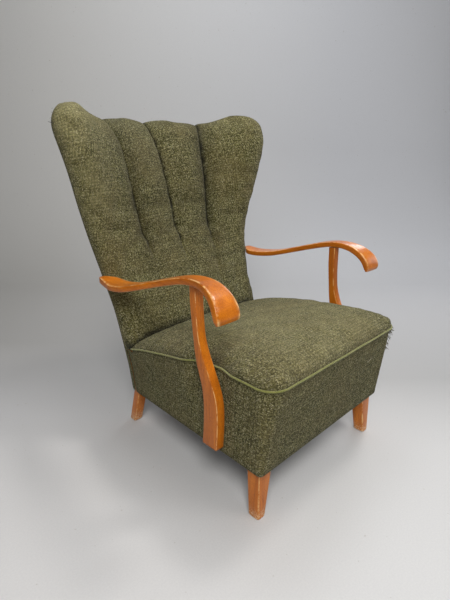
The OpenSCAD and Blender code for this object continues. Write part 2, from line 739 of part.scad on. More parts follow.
// w is a height as a share of the way from the hem to the seam
function side_x(y, w) = mix(hem_half(y), seat_half - pinch_at(y), pow(unit_clamp(w), 1.3));
function front_y(w) = -mix(hem_overhang, seat_overhang, pow(unit_clamp(w), 1.15));
function corner_r(w) = mix(hem_corner_r, seat_corner_r, unit_clamp(w));
function side_start(w) = front_y(w) + corner_r(w);
// Places along the outline: 0 is the front, 1 the corner and 2 the side, with a share of its length
front_places = [for (k = [1 - front_steps : front_steps - 1]) [0, k / front_steps]];
corner_places = [for (k = [0 : corner_steps]) [1, k / corner_steps]];
function outline_point(place, w, inset, end_y) = let (r = corner_r(w), y0 = side_start(w),
    x0 = side_x(y0, w) - r)
    place[0] == 0 ? [x0 * place[1], front_y(w) + inset]
    : place[0] == 1 ? [x0 + (r - inset) * sin(90 * place[1]), y0 - (r - inset) * cos(90 * place[1])]
    : let (y = mix(y0, end_y, place[1])) [side_x(y, w) - inset, y];
function turned(points) = [for (k = [len(points) - 1 : -1 : 0]) [-points[k][0], points[k][1]]];

// Top of the seat: a grid whose first row runs along the front and round both front corners
function first_row(inset) = let (corner = [for (p = corner_places) outline_point(p, 1, inset, 0)])
    concat(turned(corner), [for (p = front_places) outline_point(p, 1, inset, 0)], corner);
// Powers that keep the crown full up to its seams, and its loss at the rear
crown_side_power = 4;
crown_front_power = 3;
crown_edge_power = .46;
crown_rear_loss = .42;
function crown_at(across, from_front, from_rear) = let (
    side = 1 - pow(min(1, abs(across)), crown_side_power),
    front = 1 - pow(1 - unit_clamp(from_front / crown_run), crown_front_power),
    both = min(side, front) <= 0 ? 0
        : side * front / sqrt(side * side + front * front - pow(side * front, 2)))
    seat_crown * pow(both, crown_edge_power)
    * (1 - crown_rear_loss * pow(1 - unit_clamp(from_rear / crown_run), 2));
function seat_grid(inset, end_y, crown_share, drop) = let (row = first_row(inset),
    edge_x = row[len(row) - 1][0], y0 = side_start(1))
    [for (f = concat([0], side_line_shares)) let (half = side_x(mix(y0, end_y, f), 1) - inset)
        [for (p = row) let (x = p[0] / edge_x * half, y = mix(p[1], end_y, f))
            [x, y, seam_at(y) - drop
                + crown_share * crown_at(x / half, y - p[1], seat_rear_y - y)]]];
stuffing_rear_y = seat_rear_y - 3 * cloth_t;
module seat_cover() {
    color(cloth_colour) placed()
        skin(seat_grid(0, seat_rear_y, 1, 0), seat_grid(cloth_t, seat_rear_y, 1, cloth_t));
}
module seat_stuffing() {
    inset = cloth_t + 1.7 * soft_gap;
    color(fibre_colour) placed()
        skin(seat_grid(inset, stuffing_rear_y, .96, inset),
            seat_grid(5 * inset, stuffing_rear_y, 0, stuffing_t));
}
module seat_piping() {
    out = piping_r + 2.2 * fit;
    right = concat([for (p = corner_places) outline_point(p, 1, -out, 0)],
        [for (f = side_line_shares) outline_point([2, f], 1, -out, seat_rear_y)]);
    line = concat(turned(right), [for (p = front_places) outline_point(p, 1, -out, 0)], right);
    color(piping_colour) placed()
        tube([for (p = line) [p[0], p[1], seam_at(p[1])]], piping_r, 6);
}

// Cloth borders from the hem to the seam, cut on a slope where they meet the seat's cover
border_end_z = back_base_z - fit;
function border_point(place, f, inset, drop) = let (
    y1 = place[0] == 3 ? seat_rear_y : outline_point(place, 1, 0, seat_rear_y)[1],
    top = place[0] < 3 ? seam_at(y1) - drop : border_end_z,
    z = mix(hem_z, top, f),
    w = (z - hem_z) / (seam_at(y1) - hem_z))
    place[0] < 3 ? let (p = outline_point(place, w, inset, seat_rear_y)) [p[0], p[1], z]
    : [mix(side_x(seat_rear_y, w), back_half(z), place[1]) - inset,
        mix(seat_rear_y, mid_y(back_half(z), z) - 2 * fit, place[1]), z];
seam_share = corner_gap / seat_corner_r;
front_border_half = [for (k = [0 : corner_steps / 2])
    [1, k / corner_steps - (k == corner_steps / 2 ? seam_share : 0)]];
front_border_right = concat([for (p = front_places) if (p[1] > 0) p], front_border_half);
side_border_places = concat([[1, .5 + seam_share]],
    [for (k = [corner_steps / 2 + 1 : corner_steps]) [1, k / corner_steps]],
    [for (f = side_line_shares) [2, f]], [[3, .25], [3, 1]]);
function front_row(f, inset, drop) = let (
    right = [for (p = front_border_right) border_point(p, f, inset, drop)])
    concat([for (k = [len(right) - 1 : -1 : 0]) [-right[k][0], right[k][1], right[k][2]]],
        [border_point([0, 0], f, inset, drop)], right);
border_drop = 2 * fit;
module front_border() {
    color(cloth_colour) placed()
        skin([for (f = border_line_shares) front_row(f, 0, border_drop)],
            [for (f = border_line_shares) front_row(f, cloth_t, cloth_t + border_drop)]);
}
module side_border_right() {
    color(cloth_colour) placed()
        difference() {
            skin([for (f = border_line_shares) [for (p = side_border_places)
                    border_point(p, f, 0, border_drop)]],
                [for (f = border_line_shares) [for (p = side_border_places)
                    border_point(p, f, cloth_t, cloth_t + border_drop)]]);
            post_screw_holes();
        }
}
module side_border_left() {
    left_hand()
        side_border_right();
}

// Wadding between the rails and the borders
wadding_lines = [0, .5, 1];
function wadding_z(f) = mix(rail_z, rail_top_z, f);
function share_up(y, z) = (z - hem_z) / (seam_at(y) - hem_z);
module front_wadding() {
    function x_at(p) = outline_point(p, 1, 0, 0)[0];
    places = concat([[0, -1]], front_places, [[0, 1]]);
    color(fibre_colour) placed()
        skin([for (f = wadding_lines) let (z = wadding_z(f)) [for (p = places)
                [x_at(p), front_y(share_up(seat_front_y, z)) + cloth_t + soft_gap, z]]],
            [for (f = wadding_lines) [for (p = places) [x_at(p), -fit, wadding_z(f)]]]);
}
module side_wadding_right() {
    color(fibre_colour) placed()
        difference() {
            skin([for (f = wadding_lines) let (z = wadding_z(f)) [for (s = side_line_shares)
                    let (y = mix(leg_d, seat_rear_y, s)) [side_x(y, share_up(y, z)) - cloth_t - 2 * soft_gap,
                        y, z]]],
                [for (f = wadding_lines) [for (s = side_line_shares) [leg_x + fit,
                    mix(leg_d, seat_rear_y, s), wadding_z(f)]]]);
            post_screw_holes();
        }
}
module side_wadding_left() {
    left_hand()
        side_wadding_right();
}

// Springing: webbing under the rails, springs on its crossings, cord, canvas and edge rolls
spring_xs = [-spring_pitch_x, 0, spring_pitch_x];
spring_ys = [for (k = [0, 1, 2]) spring_front_y + k * spring_pitch_y];
strap_top_z = rail_z - fit;
along_top_z = strap_top_z - strap_t - fit;
lining_top_z = along_top_z - strap_t - fit;
strap_grip = .8 * rail_t;
module seat_straps_across() {
    half = rail_x + strap_grip;
    color(canvas_colour) placed()
        for (y = spring_ys)
            translate([-half, y - strap_w / 2, strap_top_z - strap_t])
                cube([2 * half, strap_w, strap_t]);
}
module seat_straps_along() {
    start = rail_t - strap_grip;
    color(canvas_colour) placed()
        for (x = spring_xs)
            translate([x - strap_w / 2, start, along_top_z - strap_t])
                cube([strap_w, rear_rail_y + strap_grip - start, strap_t]);
}
canvas_drop = stuffing_t + soft_gap;
cord_r = lashing_d / 2;
coil_reach = coil_r + wire_d;
function along_cord_z(y) = seam_at(y + coil_reach) - canvas_drop - canvas_t - 2 * soft_gap - cord_r;
function across_cord_z(y) = along_cord_z(y) - lashing_d - fit;
function spring_top(y) = across_cord_z(y) - cord_r - fit - wire_d / 2;
spring_rings = 44;
module spring(x, y) {
    z0 = rail_z + wire_d / 2;
    z1 = spring_top(y);
    tube([for (k = [0 : spring_rings]) let (f = k / spring_rings, a = 360 * coil_turns * f,
        climb = ease((f - .5) / .8 + .5), r = mix(waist_r, coil_r, pow(abs(2 * f - 1), 1.5)))
        [x + r * cos(a), y + r * sin(a), mix(z0, z1, climb)]], wire_d / 2, 4);
}
module seat_springs() {
    color(steel_colour) placed()
        for (x = spring_xs)
            for (y = spring_ys)
                spring(x, y);
}
cord_end_z = rail_top_z + fit + cord_r;
module spring_lashing() {
    end_x = rail_x + rail_t / 4;
    last_x = spring_pitch_x + coil_reach;
    rear_end = rear_rail_y + .15 * rail_t;
    color(canvas_colour) placed() {
        for (y = spring_ys)
            tube([[-end_x, y, cord_end_z], [-last_x, y, across_cord_z(y)], [last_x, y, across_cord_z(y)],
                [end_x, y, cord_end_z]], cord_r, 6);
        for (x = spring_xs)
            tube(concat([[x, rail_t / 2, cord_end_z]],
                [for (y = spring_ys) each [[x, y - coil_reach, along_cord_z(y)],
                    [x, y + coil_reach, along_cord_z(y)]]],
                [[x, rear_end, cord_end_z]]), cord_r, 6);
    }
}
// Canvas over the springs: a flat top with skirts down to the rails
canvas_foot_z = rail_top_z + lashing_d + 2 * fit;
canvas_foot_x = rail_x + .75 * rail_t;
canvas_top_x = spring_pitch_x + coil_reach + 2 * lashing_d;
canvas_front_y = .3 * rail_t;
canvas_rise_y = spring_front_y - coil_reach - 2 * lashing_d;
canvas_ys = concat([for (k = [0 : 8]) mix(canvas_rise_y, spring_ys[2] + coil_reach, k / 8)]);
module spring_canvas() {
    xs = [-canvas_foot_x, -canvas_top_x, -spring_pitch_x, 0, spring_pitch_x, canvas_top_x, canvas_foot_x];
    function height(x, y, down) = (abs(x) < canvas_foot_x ? seam_at(y) - canvas_drop : canvas_foot_z
        + canvas_t) - down;
    function row(y, down) = [for (x = xs) [x, y, height(x, y, down)]];
    function foot(y, half, down) = [for (x = xs) [sign(x) * min(abs(x), half), y,
        canvas_foot_z + canvas_t - down]];
    rear_half = post_inner_low - canvas_foot_x / 15;
    rear_y = rear_rail_y + .55 * rail_t;
    color(canvas_colour) placed()
        skin(concat([foot(canvas_front_y, canvas_foot_x, 0)], [for (y = canvas_ys) row(y, 0)],
                [foot(rear_y, rear_half, 0)]),
            concat([foot(canvas_front_y + canvas_t / 2, canvas_foot_x, canvas_t)],
                [for (y = canvas_ys) row(y, canvas_t)],
                [foot(rear_y - canvas_t / 2, rear_half, canvas_t)]));
}
// Edge rolls on the rails, outside the canvas and under the stuffing
roll_z = rail_top_z + fit;
roll_drop = stuffing_t + 2 * soft_gap;
roll_rear_y = spring_ys[2] + coil_reach + 4 * canvas_t;
function front_roll_y(z) = front_y(share_up(seat_front_y, z)) + cloth_t + 2 * soft_gap;
module edge_roll_front() {
    top = seam_z - roll_drop;
    half = leg_x - leg_w;
    color(fibre_colour) placed()
        translate([-half, 0, 0])
            rotate([90, 0, 90])
                linear_extrude(2 * half)
                    polygon([[canvas_front_y - 4 * canvas_t, roll_z], [canvas_rise_y - 3 * canvas_t, top],
                        [front_roll_y(top), top], [front_roll_y((top + roll_z) / 2), (top + roll_z) / 2],
                        [front_roll_y(roll_z), roll_z]]);
}
module edge_roll_right() {
    ys = [for (s = side_line_shares) mix(canvas_rise_y + 2 * canvas_t, roll_rear_y, s)];
    function outer(y, z) = side_x(y, share_up(y, z)) - cloth_t - 3 * soft_gap;
    color(fibre_colour) placed()
        loft([for (k = [len(ys) - 1 : -1 : 0]) let (y = ys[k], top = seam_at(y) - roll_drop,
            middle = (top + roll_z) / 2) [[canvas_foot_x + 4 * canvas_t, y, roll_z + 2 * lashing_d],
                [canvas_foot_x + 4 * canvas_t, y, roll_z],
                [outer(y, roll_z), y, roll_z], [outer(y, middle), y, middle], [outer(y, top), y, top],
                [canvas_top_x + 12 * canvas_t, y, top]]]);
}
module edge_roll_left() {
    left_hand()
        edge_roll_right();
}

// Cloth under the seat, cut round the legs and held by tacks
module bottom_cloth() {
    half = leg_x - cloth_t;
    start = cloth_t;
    rear = back_foot_y + back_half_low - 3 * cloth_t;
    notch_x = leg_x - leg_w - 2 * fit;
    notch_y = leg_d + 2 * fit;
    post_x = post_inner_x(hem_z) - 2 * fit;
    post_y = back_foot_y - 2 * fit;
    right = [[notch_x, start], [notch_x, notch_y], [half, notch_y], [half, post_y], [post_x, post_y],
        [post_x, rear]];
    color(canvas_colour) placed()
        difference() {
            translate([0, 0, lining_top_z - lining_t])
                linear_extrude(lining_t)
                    polygon(concat(right, turned(right)));
            tack_rods(tack_d + fit, fit);
        }
}
tack_head_z = lining_top_z - lining_t - fit / 2;
tack_xs = [for (share = [-1.4, -.5, .5, 1.4]) share * spring_pitch_x];
tack_ys = [for (k = [.5, 1.5, 2.5]) spring_front_y + k * spring_pitch_y];
module tack_rods(d, extra) {
    top = [0, 0, rail_z + 5 * tack_d + extra];
    low = [0, 0, tack_head_z - extra];
    for (x = tack_xs)
        for (y = [rail_t / 2, rear_rail_y + rail_t / 2])
            rod([x, y, 0] + low, [x, y, 0] + top, d);
    for (y = tack_ys)
        both_sides()
            rod([leg_x - rail_t / 2, y, 0] + low, [leg_x - rail_t / 2, y, 0] + top, d);
}
module bottom_tacks() {
    head_h = lining_t - fit / 2;
    color(steel_colour) placed() {
        tack_rods(tack_d, 0);
        for (x = tack_xs)
            for (y = [rail_t / 2, rear_rail_y + rail_t / 2])
                translate([x, y, tack_head_z - head_h])
                    cylinder(h = head_h, d = 3 * tack_d, $fn = rod_sides);
        for (y = tack_ys)
            both_sides()
                translate([leg_x - rail_t / 2, y, tack_head_z - head_h])
                    cylinder(h = head_h, d = 3 * tack_d, $fn = rod_sides);
    }
}

// Back: webbing and canvas on the frame, stuffing, and the cloth of both faces
web_zs = concat([cell_z(3.5)], [for (k = [4 : 16]) cell_z(k)], [cell_z(16.5)]);
upright_xs = [-3, 0, 3];
module back_straps_up() {
    function rows(x, offset) = [for (z = web_zs) [for (s = [-.5, .5]) let (p = x + s * cell)
        [p, mid_y(p, z) + offset, z]]];
    color(canvas_colour) placed()
        for (k = upright_xs)
            skin(rows(k * cell, upright_y), rows(k * cell, upright_y + strap_t));
}
// The ends of a cross strap bend towards the front, over the face of the post
function strap_rows(zs, half, offset) = [for (z = zs) concat([end_point(-half, z, offset)],
    [for (x = inner_lines(half)) [x, mid_y(x, z) + offset, z]], [end_point(half, z, offset)])];
function end_point(x, z, offset) = [x, mid_y(x, z) + offset - .8 * strap_t, z];
module back_straps_across() {
    color(canvas_colour) placed()
        for (k = [5, 7, 11, 13]) {
            half = post_inner_x(cell_z(k + .5)) + .4 * post_w;
            zs = [cell_z(k), cell_z(k + 1)];
            skin(strap_rows(zs, half, cross_y), strap_rows(zs, half, cross_y + strap_t));
        }
}
module back_canvas() {
    halves = [for (z = web_zs) post_inner_x(z) + post_w / 3];
    lines = inner_lines(min(halves));
    color(canvas_colour) placed()
        skin(board_rows(web_zs, halves, lines, canvas_y),
            board_rows(web_zs, halves, lines, canvas_y + canvas_t));
}
module back_stuffing() {
    inset = cloth_t + 2 * soft_gap;
    color(fibre_colour) placed()
        difference() {
            skin(back_sheet(back_line_shares, -1, inset, side_roll / 10, 2 * cloth_t, 0),
                back_sheet(back_line_shares, 0, inset, side_roll / 10, 0, -5.5 * soft_gap));
            arm_screw_channels();
        }
}
module back_cover() {
    color(cloth_colour) placed()
        difference() {
            skin(front_outer, front_inner);
            arm_screw_channels();
        }
}
module outside_back() {
    color(cloth_colour) placed()
        skin(rear_inner, rear_outer, true);
}

front_edge_y = seat_front_y - 2.2 * fit - piping_d;
rear_edge_y = max([for (p = flatten(rear_outer)) p[1]]);
middle_y = (front_edge_y + rear_edge_y) / 2;
module placed() {
    translate([0, -middle_y, 0])
        children();
}

front_leg_left();
front_leg_right();
back_post_left();
back_post_right();
front_rail();
rear_rail();
side_rail_left();
side_rail_right();
corner_block_front_left();
corner_block_front_right();
corner_block_rear_left();
corner_block_rear_right();
corner_block_screws();
rail_dowels();
back_top_rail();
back_middle_rail();
back_bottom_rail();
back_rail_dowels();
arm_left();
arm_right();
arm_post_left();
arm_post_right();
arm_dowels();
arm_screws();
arm_post_screws();
seat_straps_across();
seat_straps_along();
seat_springs();
spring_lashing();
spring_canvas();
edge_roll_front();
edge_roll_left();
edge_roll_right();
seat_stuffing();
seat_cover();
seat_piping();
front_border();
side_border_left();
side_border_right();
front_wadding();
side_wadding_left();
side_wadding_right();
bottom_cloth();
bottom_tacks();
back_straps_across();
back_straps_up();
back_canvas();
back_stuffing();
back_cover();
outside_back();
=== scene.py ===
import json
import math

import bmesh
import bpy
import numpy as np
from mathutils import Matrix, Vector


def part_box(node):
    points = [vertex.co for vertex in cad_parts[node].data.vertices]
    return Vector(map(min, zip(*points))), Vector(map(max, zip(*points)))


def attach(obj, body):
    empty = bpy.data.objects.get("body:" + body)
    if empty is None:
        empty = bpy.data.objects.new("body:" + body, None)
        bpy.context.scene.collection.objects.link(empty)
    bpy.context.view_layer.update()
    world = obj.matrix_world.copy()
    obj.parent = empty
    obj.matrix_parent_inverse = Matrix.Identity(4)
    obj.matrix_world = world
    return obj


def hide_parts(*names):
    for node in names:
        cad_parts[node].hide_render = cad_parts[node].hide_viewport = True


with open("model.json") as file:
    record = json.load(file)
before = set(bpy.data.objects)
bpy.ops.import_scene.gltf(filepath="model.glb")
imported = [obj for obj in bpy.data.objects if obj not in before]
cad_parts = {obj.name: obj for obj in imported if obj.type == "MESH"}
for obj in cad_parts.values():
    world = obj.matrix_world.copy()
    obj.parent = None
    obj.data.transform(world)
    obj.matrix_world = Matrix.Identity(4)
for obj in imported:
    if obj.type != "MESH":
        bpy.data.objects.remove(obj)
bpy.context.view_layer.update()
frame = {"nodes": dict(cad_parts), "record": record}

# Lengths are millimetres, and depths run to the rear from the front face of the front legs. The
# front feet stand FOOT_SPLAY further out than their legs, to the front and to the side. MIDDLE_Y
# is the depth of the chair's middle, where the finished meshes are centred.
FOOT_SPLAY = 4
MIDDLE_Y = -1000 * float(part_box("front_leg_left")[0][1]) - FOOT_SPLAY
QUARTER = math.pi / 2


# ---------------------------------------------------------------- shared formulas
def mix(a, b, share):
    """The value a given share of the way from a to b."""
    return a + (b - a) * share


def clamp(share):
    """A share kept between 0 and 1."""
    return np.clip(share, 0, 1)


def ease(share):
    """Smooth step: 3s^2 - 2s^3 of a clamped share."""
    s = clamp(share)
    return s * s * (3 - 2 * s)


def curve(rows, t):
    """Cubic through the rows of a table, with each row's slope taken across its neighbours."""
    x, y = np.array(rows, float).T
    before = np.maximum(np.arange(len(x)) - 1, 0)
    after = np.minimum(np.arange(len(x)) + 1, len(x) - 1)
    slope = (y[after] - y[before]) / (x[after] - x[before])
    t = np.asarray(t, float)
    k = np.clip(np.searchsorted(x, t, side="right") - 1, 0, len(x) - 2)
    w = x[k + 1] - x[k]
    f = (t - x[k]) / w
    return ((2 * f**3 - 3 * f**2 + 1) * y[k] + (f**3 - 2 * f**2 + f) * w * slope[k]
            + (3 * f**2 - 2 * f**3) * y[k + 1] + (f**3 - f**2) * w * slope[k + 1])


def round_edge(distance, radius):
    """Height of a quarter circle at a distance from its edge: sqrt(1 - (1 - d/r)^2)."""
    d = clamp(np.asarray(distance, float) / radius)
    return np.sqrt(clamp(1 - (1 - d) ** 2))


def bell(a, width, b=0, other_width=1):
    """Bell curve of one or two distances: exp(-(a / width)^2 - (b / other_width)^2)."""
    return np.exp(-(a / width) ** 2 - (b / other_width) ** 2)


def shares(count):
    """Evenly spaced values from 0 to 1."""
    return np.linspace(0, 1, count)


def ripple(points, size, seed):
    """Soft unevenness, mostly between -1 and 1: seven sine waves of about that size in fixed random
    ways."""
    rng = np.random.default_rng(seed)
    ways = rng.normal(size=(7, 3))
    ways *= (math.tau / size) * rng.uniform(.6, 1.5, (7, 1)) / np.linalg.norm(ways, axis=1)[:, None]
    phases = rng.uniform(0, math.tau, 7)
    return np.sin(points @ ways.T + phases).sum(-1) / 4


def joined(*parts, axis=0):
    """Arrays or lists one after the other."""
    return np.concatenate(parts, axis)


def same_shape(*values):
    """Numbers and arrays stretched to one shape."""
    return np.broadcast_arrays(*[np.asarray(v, float) for v in values])


def runs(*stops):
    """Evenly spaced values through stops, given as value, count, value, count, value and so on."""
    parts = [np.linspace(a, b, count) for a, count, b in zip(stops[::2], stops[1::2], stops[2::2])]
    return joined(*[part[:-1] for part in parts[:-1]], parts[-1])


def run_lengths(points, axis):
    """Distance travelled over a grid of points along one axis, starting at 0."""
    steps = np.linalg.norm(np.diff(points, axis=axis), axis=-1)
    start = np.zeros_like(np.take(steps, [0], axis=axis))
    return joined(start, np.cumsum(steps, axis=axis), axis=axis)


def unit(v):
    """Vectors of length 1."""
    return v / np.maximum(np.linalg.norm(v, axis=-1, keepdims=True), 1e-9)


def outwards(points):
    """Normals of a grid whose last row joins its first: the cross product of its differences along
    columns and rows."""
    return unit(np.cross(np.gradient(points, axis=1), np.roll(points, -1, 0) - np.roll(points, 1, 0)))


# ---------------------------------------------------------------- grids into meshes
def new_piece(name, points, quads):
    """Object with a smooth mesh of quads through a list of points."""
    mesh = bpy.data.meshes.new(name)
    mesh.from_pydata((points - [0, MIDDLE_Y, 0]) / 1000, [], quads)
    mesh.shade_smooth()
    piece = bpy.data.objects.new(name, mesh)
    bpy.context.collection.objects.link(piece)
    return piece


def weld(mesh, distance):
    """Joins points closer than a distance, which closes seams and poles, and turns faces outwards."""
    work = bmesh.new()
    work.from_mesh(mesh)
    bmesh.ops.remove_doubles(work, verts=work.verts, dist=distance / 1000)
    bmesh.ops.dissolve_degenerate(work, edges=work.edges, dist=1e-7)
    bmesh.ops.recalc_face_normals(work, faces=work.faces)
    work.to_mesh(mesh)
    work.free()


def surface(name, points, wrap=(False, False), uv=None, marks=None, welded=True):
    """Piece through a grid of points, rows by columns. wrap joins the last row or column to the first,
    uv holds a length along and across in metres for every grid line, and marks are shares per point."""
    rows, cols = points.shape[:2]
    at = np.arange(rows * cols).reshape(rows, cols)
    i = np.arange(rows if wrap[0] else rows - 1)[:, None]
    j = np.arange(cols if wrap[1] else cols - 1)[None, :]
    corners = [(i, j), (i, j + 1), (i + 1, j + 1), (i + 1, j)]
    quads = np.stack([at[a % rows, b % cols] for a, b in corners], -1).reshape(-1, 4)
    piece = new_piece(name, points.reshape(-1, 3), quads)
    if uv is None:
        uv = np.stack([run_lengths(points, 0), run_lengths(points, 1)], -1) / 1000
    if wrap[0]:
        uv = joined(uv, 2 * uv[-1:] - uv[-2:-1])
    if wrap[1]:
        uv = joined(uv, 2 * uv[:, -1:] - uv[:, -2:-1], axis=1)
    values = np.stack([uv[a, b] for a, b in corners], -2).astype(np.float32).ravel()
    piece.data.uv_layers.new(name="cloth").data.foreach_set("uv", values)
    for mark, share in (marks or {}).items():
        values = np.broadcast_to(share, (rows, cols)).astype(np.float32).ravel()
        piece.data.attributes.new(mark, "FLOAT", "POINT").data.foreach_set("value", values)
    if welded:
        weld(piece.data, .05)
    return piece


def finished(piece, material, slot_name, *nodes):
    """Gives a piece its material, lets it ride and replaces the nodes it stands for; slot_name is not used.
    """
    piece.data.materials.clear()
    piece.data.materials.append(material)
    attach(piece, "root")
    if nodes:
        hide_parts(*nodes)
    return piece


def upholstered(name, shape, worn, sewn_and_painted_shade, along=None):
    """Closed piece of cloth over stuffing, subdivided once. Lengths of cloth run across from the middle
    column, and down the rows along it unless they are given."""
    middle = [shape.shape[1] // 2]
    if along is None:
        along = run_lengths(shape, 0)[:, middle] / 1000
    across = run_lengths(shape, 1)
    across = (across - across[:, middle]) / 1000
    uv = np.stack([np.broadcast_to(along, across.shape), across], -1)
    # worn marks paler wear; the other mark is painted shade
    piece = surface(name, shape, (True, False), uv, {"worn": worn, "sewn_and_painted_shade": sewn_and_painted_shade})
    smooth = piece.modifiers.new("smooth", "SUBSURF")
    smooth.levels = smooth.render_levels = 1
    smooth.boundary_smooth = "PRESERVE_CORNERS"
    return piece


def thicken(piece, metres):
    """Gives a sheet its thickness, half to each side."""
    shell = piece.modifiers.new("thickness", "SOLIDIFY")
    shell.thickness = metres
    shell.offset = 0


def puffed(patch, held):
    """A grid of points after Blender's cloth has blown it up: held points stay, the others are drawn back
    weakly, and no point moves more than cap, by a hyperbolic tangent."""
    cap, frames = 6.0, 20
    trial = surface("trial", patch, welded=False)
    group = trial.vertex_groups.new(name="held")
    group.add(np.flatnonzero(held).tolist(), 1.0, "REPLACE")
    group.add(np.flatnonzero(~held).tolist(), 0.2, "REPLACE")
    cloth = trial.modifiers.new("cloth", "CLOTH")
    settings = cloth.settings
    settings.quality = 5
    settings.mass = 0.3
    settings.tension_stiffness = settings.compression_stiffness = 15
    settings.shear_stiffness = 7.5
    settings.bending_stiffness = 0.5
    settings.shrink_min = -0.02
    settings.vertex_group_mass = "held"
    settings.use_pressure = True
    settings.uniform_pressure_force = 4
    settings.effector_weights.gravity = 0
    cloth.point_cache.frame_start = 1
    cloth.point_cache.frame_end = frames
    scene = bpy.context.scene
    for step in range(1, frames + 1):
        scene.frame_set(step)
    shaped = trial.evaluated_get(bpy.context.evaluated_depsgraph_get()).to_mesh()
    found = np.empty(len(shaped.vertices) * 3)
    shaped.vertices.foreach_get("co", found)
    moved = found.reshape(patch.shape) * 1000 + [0, MIDDLE_Y, 0] - patch
    far = np.maximum(np.linalg.norm(moved, axis=-1, keepdims=True), 1e-6)
    bpy.data.objects.remove(trial)
    scene.frame_set(1)
    return patch + moved * cap * np.tanh(far / cap) / far


# ---------------------------------------------------------------- finishes
class Finish:
    """A material being made: every call adds one node and gives its output."""

    def __init__(self, name):
        self.material = bpy.data.materials.new(name)
        self.material.use_nodes = True
        self.tree = self.material.node_tree
        self.shader = self.tree.nodes["Principled BSDF"]

    def node(self, kind, inputs=(), output=0, **settings):
        made = self.tree.nodes.new("ShaderNode" + kind)
        for key, value in settings.items():
            setattr(made, key, value)
        for place, value in dict(inputs).items():
            self.set(made.inputs[place], value)
        return made.outputs[output]

    def set(self, socket, value):
        if isinstance(value, bpy.types.NodeSocket):
            self.tree.links.new(value, socket)
        else:
            socket.default_value = value

    def math(self, operation, a, b=0.0, c=0.0):
        return self.node("Math", {0: a, 1: b, 2: c}, operation=operation)

    def times(self, a, b, plus=None):
        return self.math("MULTIPLY", a, b) if plus is None else self.math("MULTIPLY_ADD", a, b, plus)

    def vector(self, operation, a, b):
        """Vector maths on two vectors, or on a vector and the number that scales it."""
        place, output = {"SCALE": (3, 0), "DOT_PRODUCT": (1, 1)}.get(operation, (1, 0))
        return self.node("VectorMath", {0: a, place: b}, output, operation=operation)

    def either(self, share, a, b):
        return self.node("Mix", {0: share, 2: a, 3: b}, 0, data_type="FLOAT")

    def fit(self, value, low, high, to_low=0.0, to_high=1.0):
        return self.node("MapRange", {0: value, 1: low, 2: high, 3: to_low, 4: to_high})

    def blend(self, share, a, b, how="MIX"):
        return self.node("Mix", {0: share, 6: a, 7: b}, 2, data_type="RGBA", blend_type=how)

    def noise(self, place, scale, detail=3.0, roughness=0.55):
        return self.node("TexNoise", {"Vector": place, "Scale": scale, "Detail": detail,
                                      "Roughness": roughness})

    def stretched(self, place, scale, turn=(0, 0, 0)):
        return self.node("Mapping", {"Vector": place, "Scale": scale, "Rotation": turn})

    def ramp(self, share, *stops):
        out = self.node("ValToRGB", {0: share})
        ramp = out.node.color_ramp
        while len(ramp.elements) < len(stops):
            ramp.elements.new(0.5)
        for element, (position, colour) in zip(ramp.elements, stops):
            element.position = position
            element.color = (*colour, 1)
        return out

    def places(self):
        return self.node("TexCoord", output=3)

    def cloth_map(self):
        return self.node("UVMap", uv_map="cloth")

    def mark(self, name):
        return self.node("Attribute", output=2, attribute_name=name)

    def done(self, colour, roughness, bump, depth, strength, **sockets):
        normal = self.node("Bump", {"Height": bump, "Distance": depth, "Strength": strength})
        sockets.update(Base_Color=colour, Roughness=roughness, Normal=normal)
        for name, value in sockets.items():
            self.set(self.shader.inputs[name.replace("_", " ")], value)
        return self.material


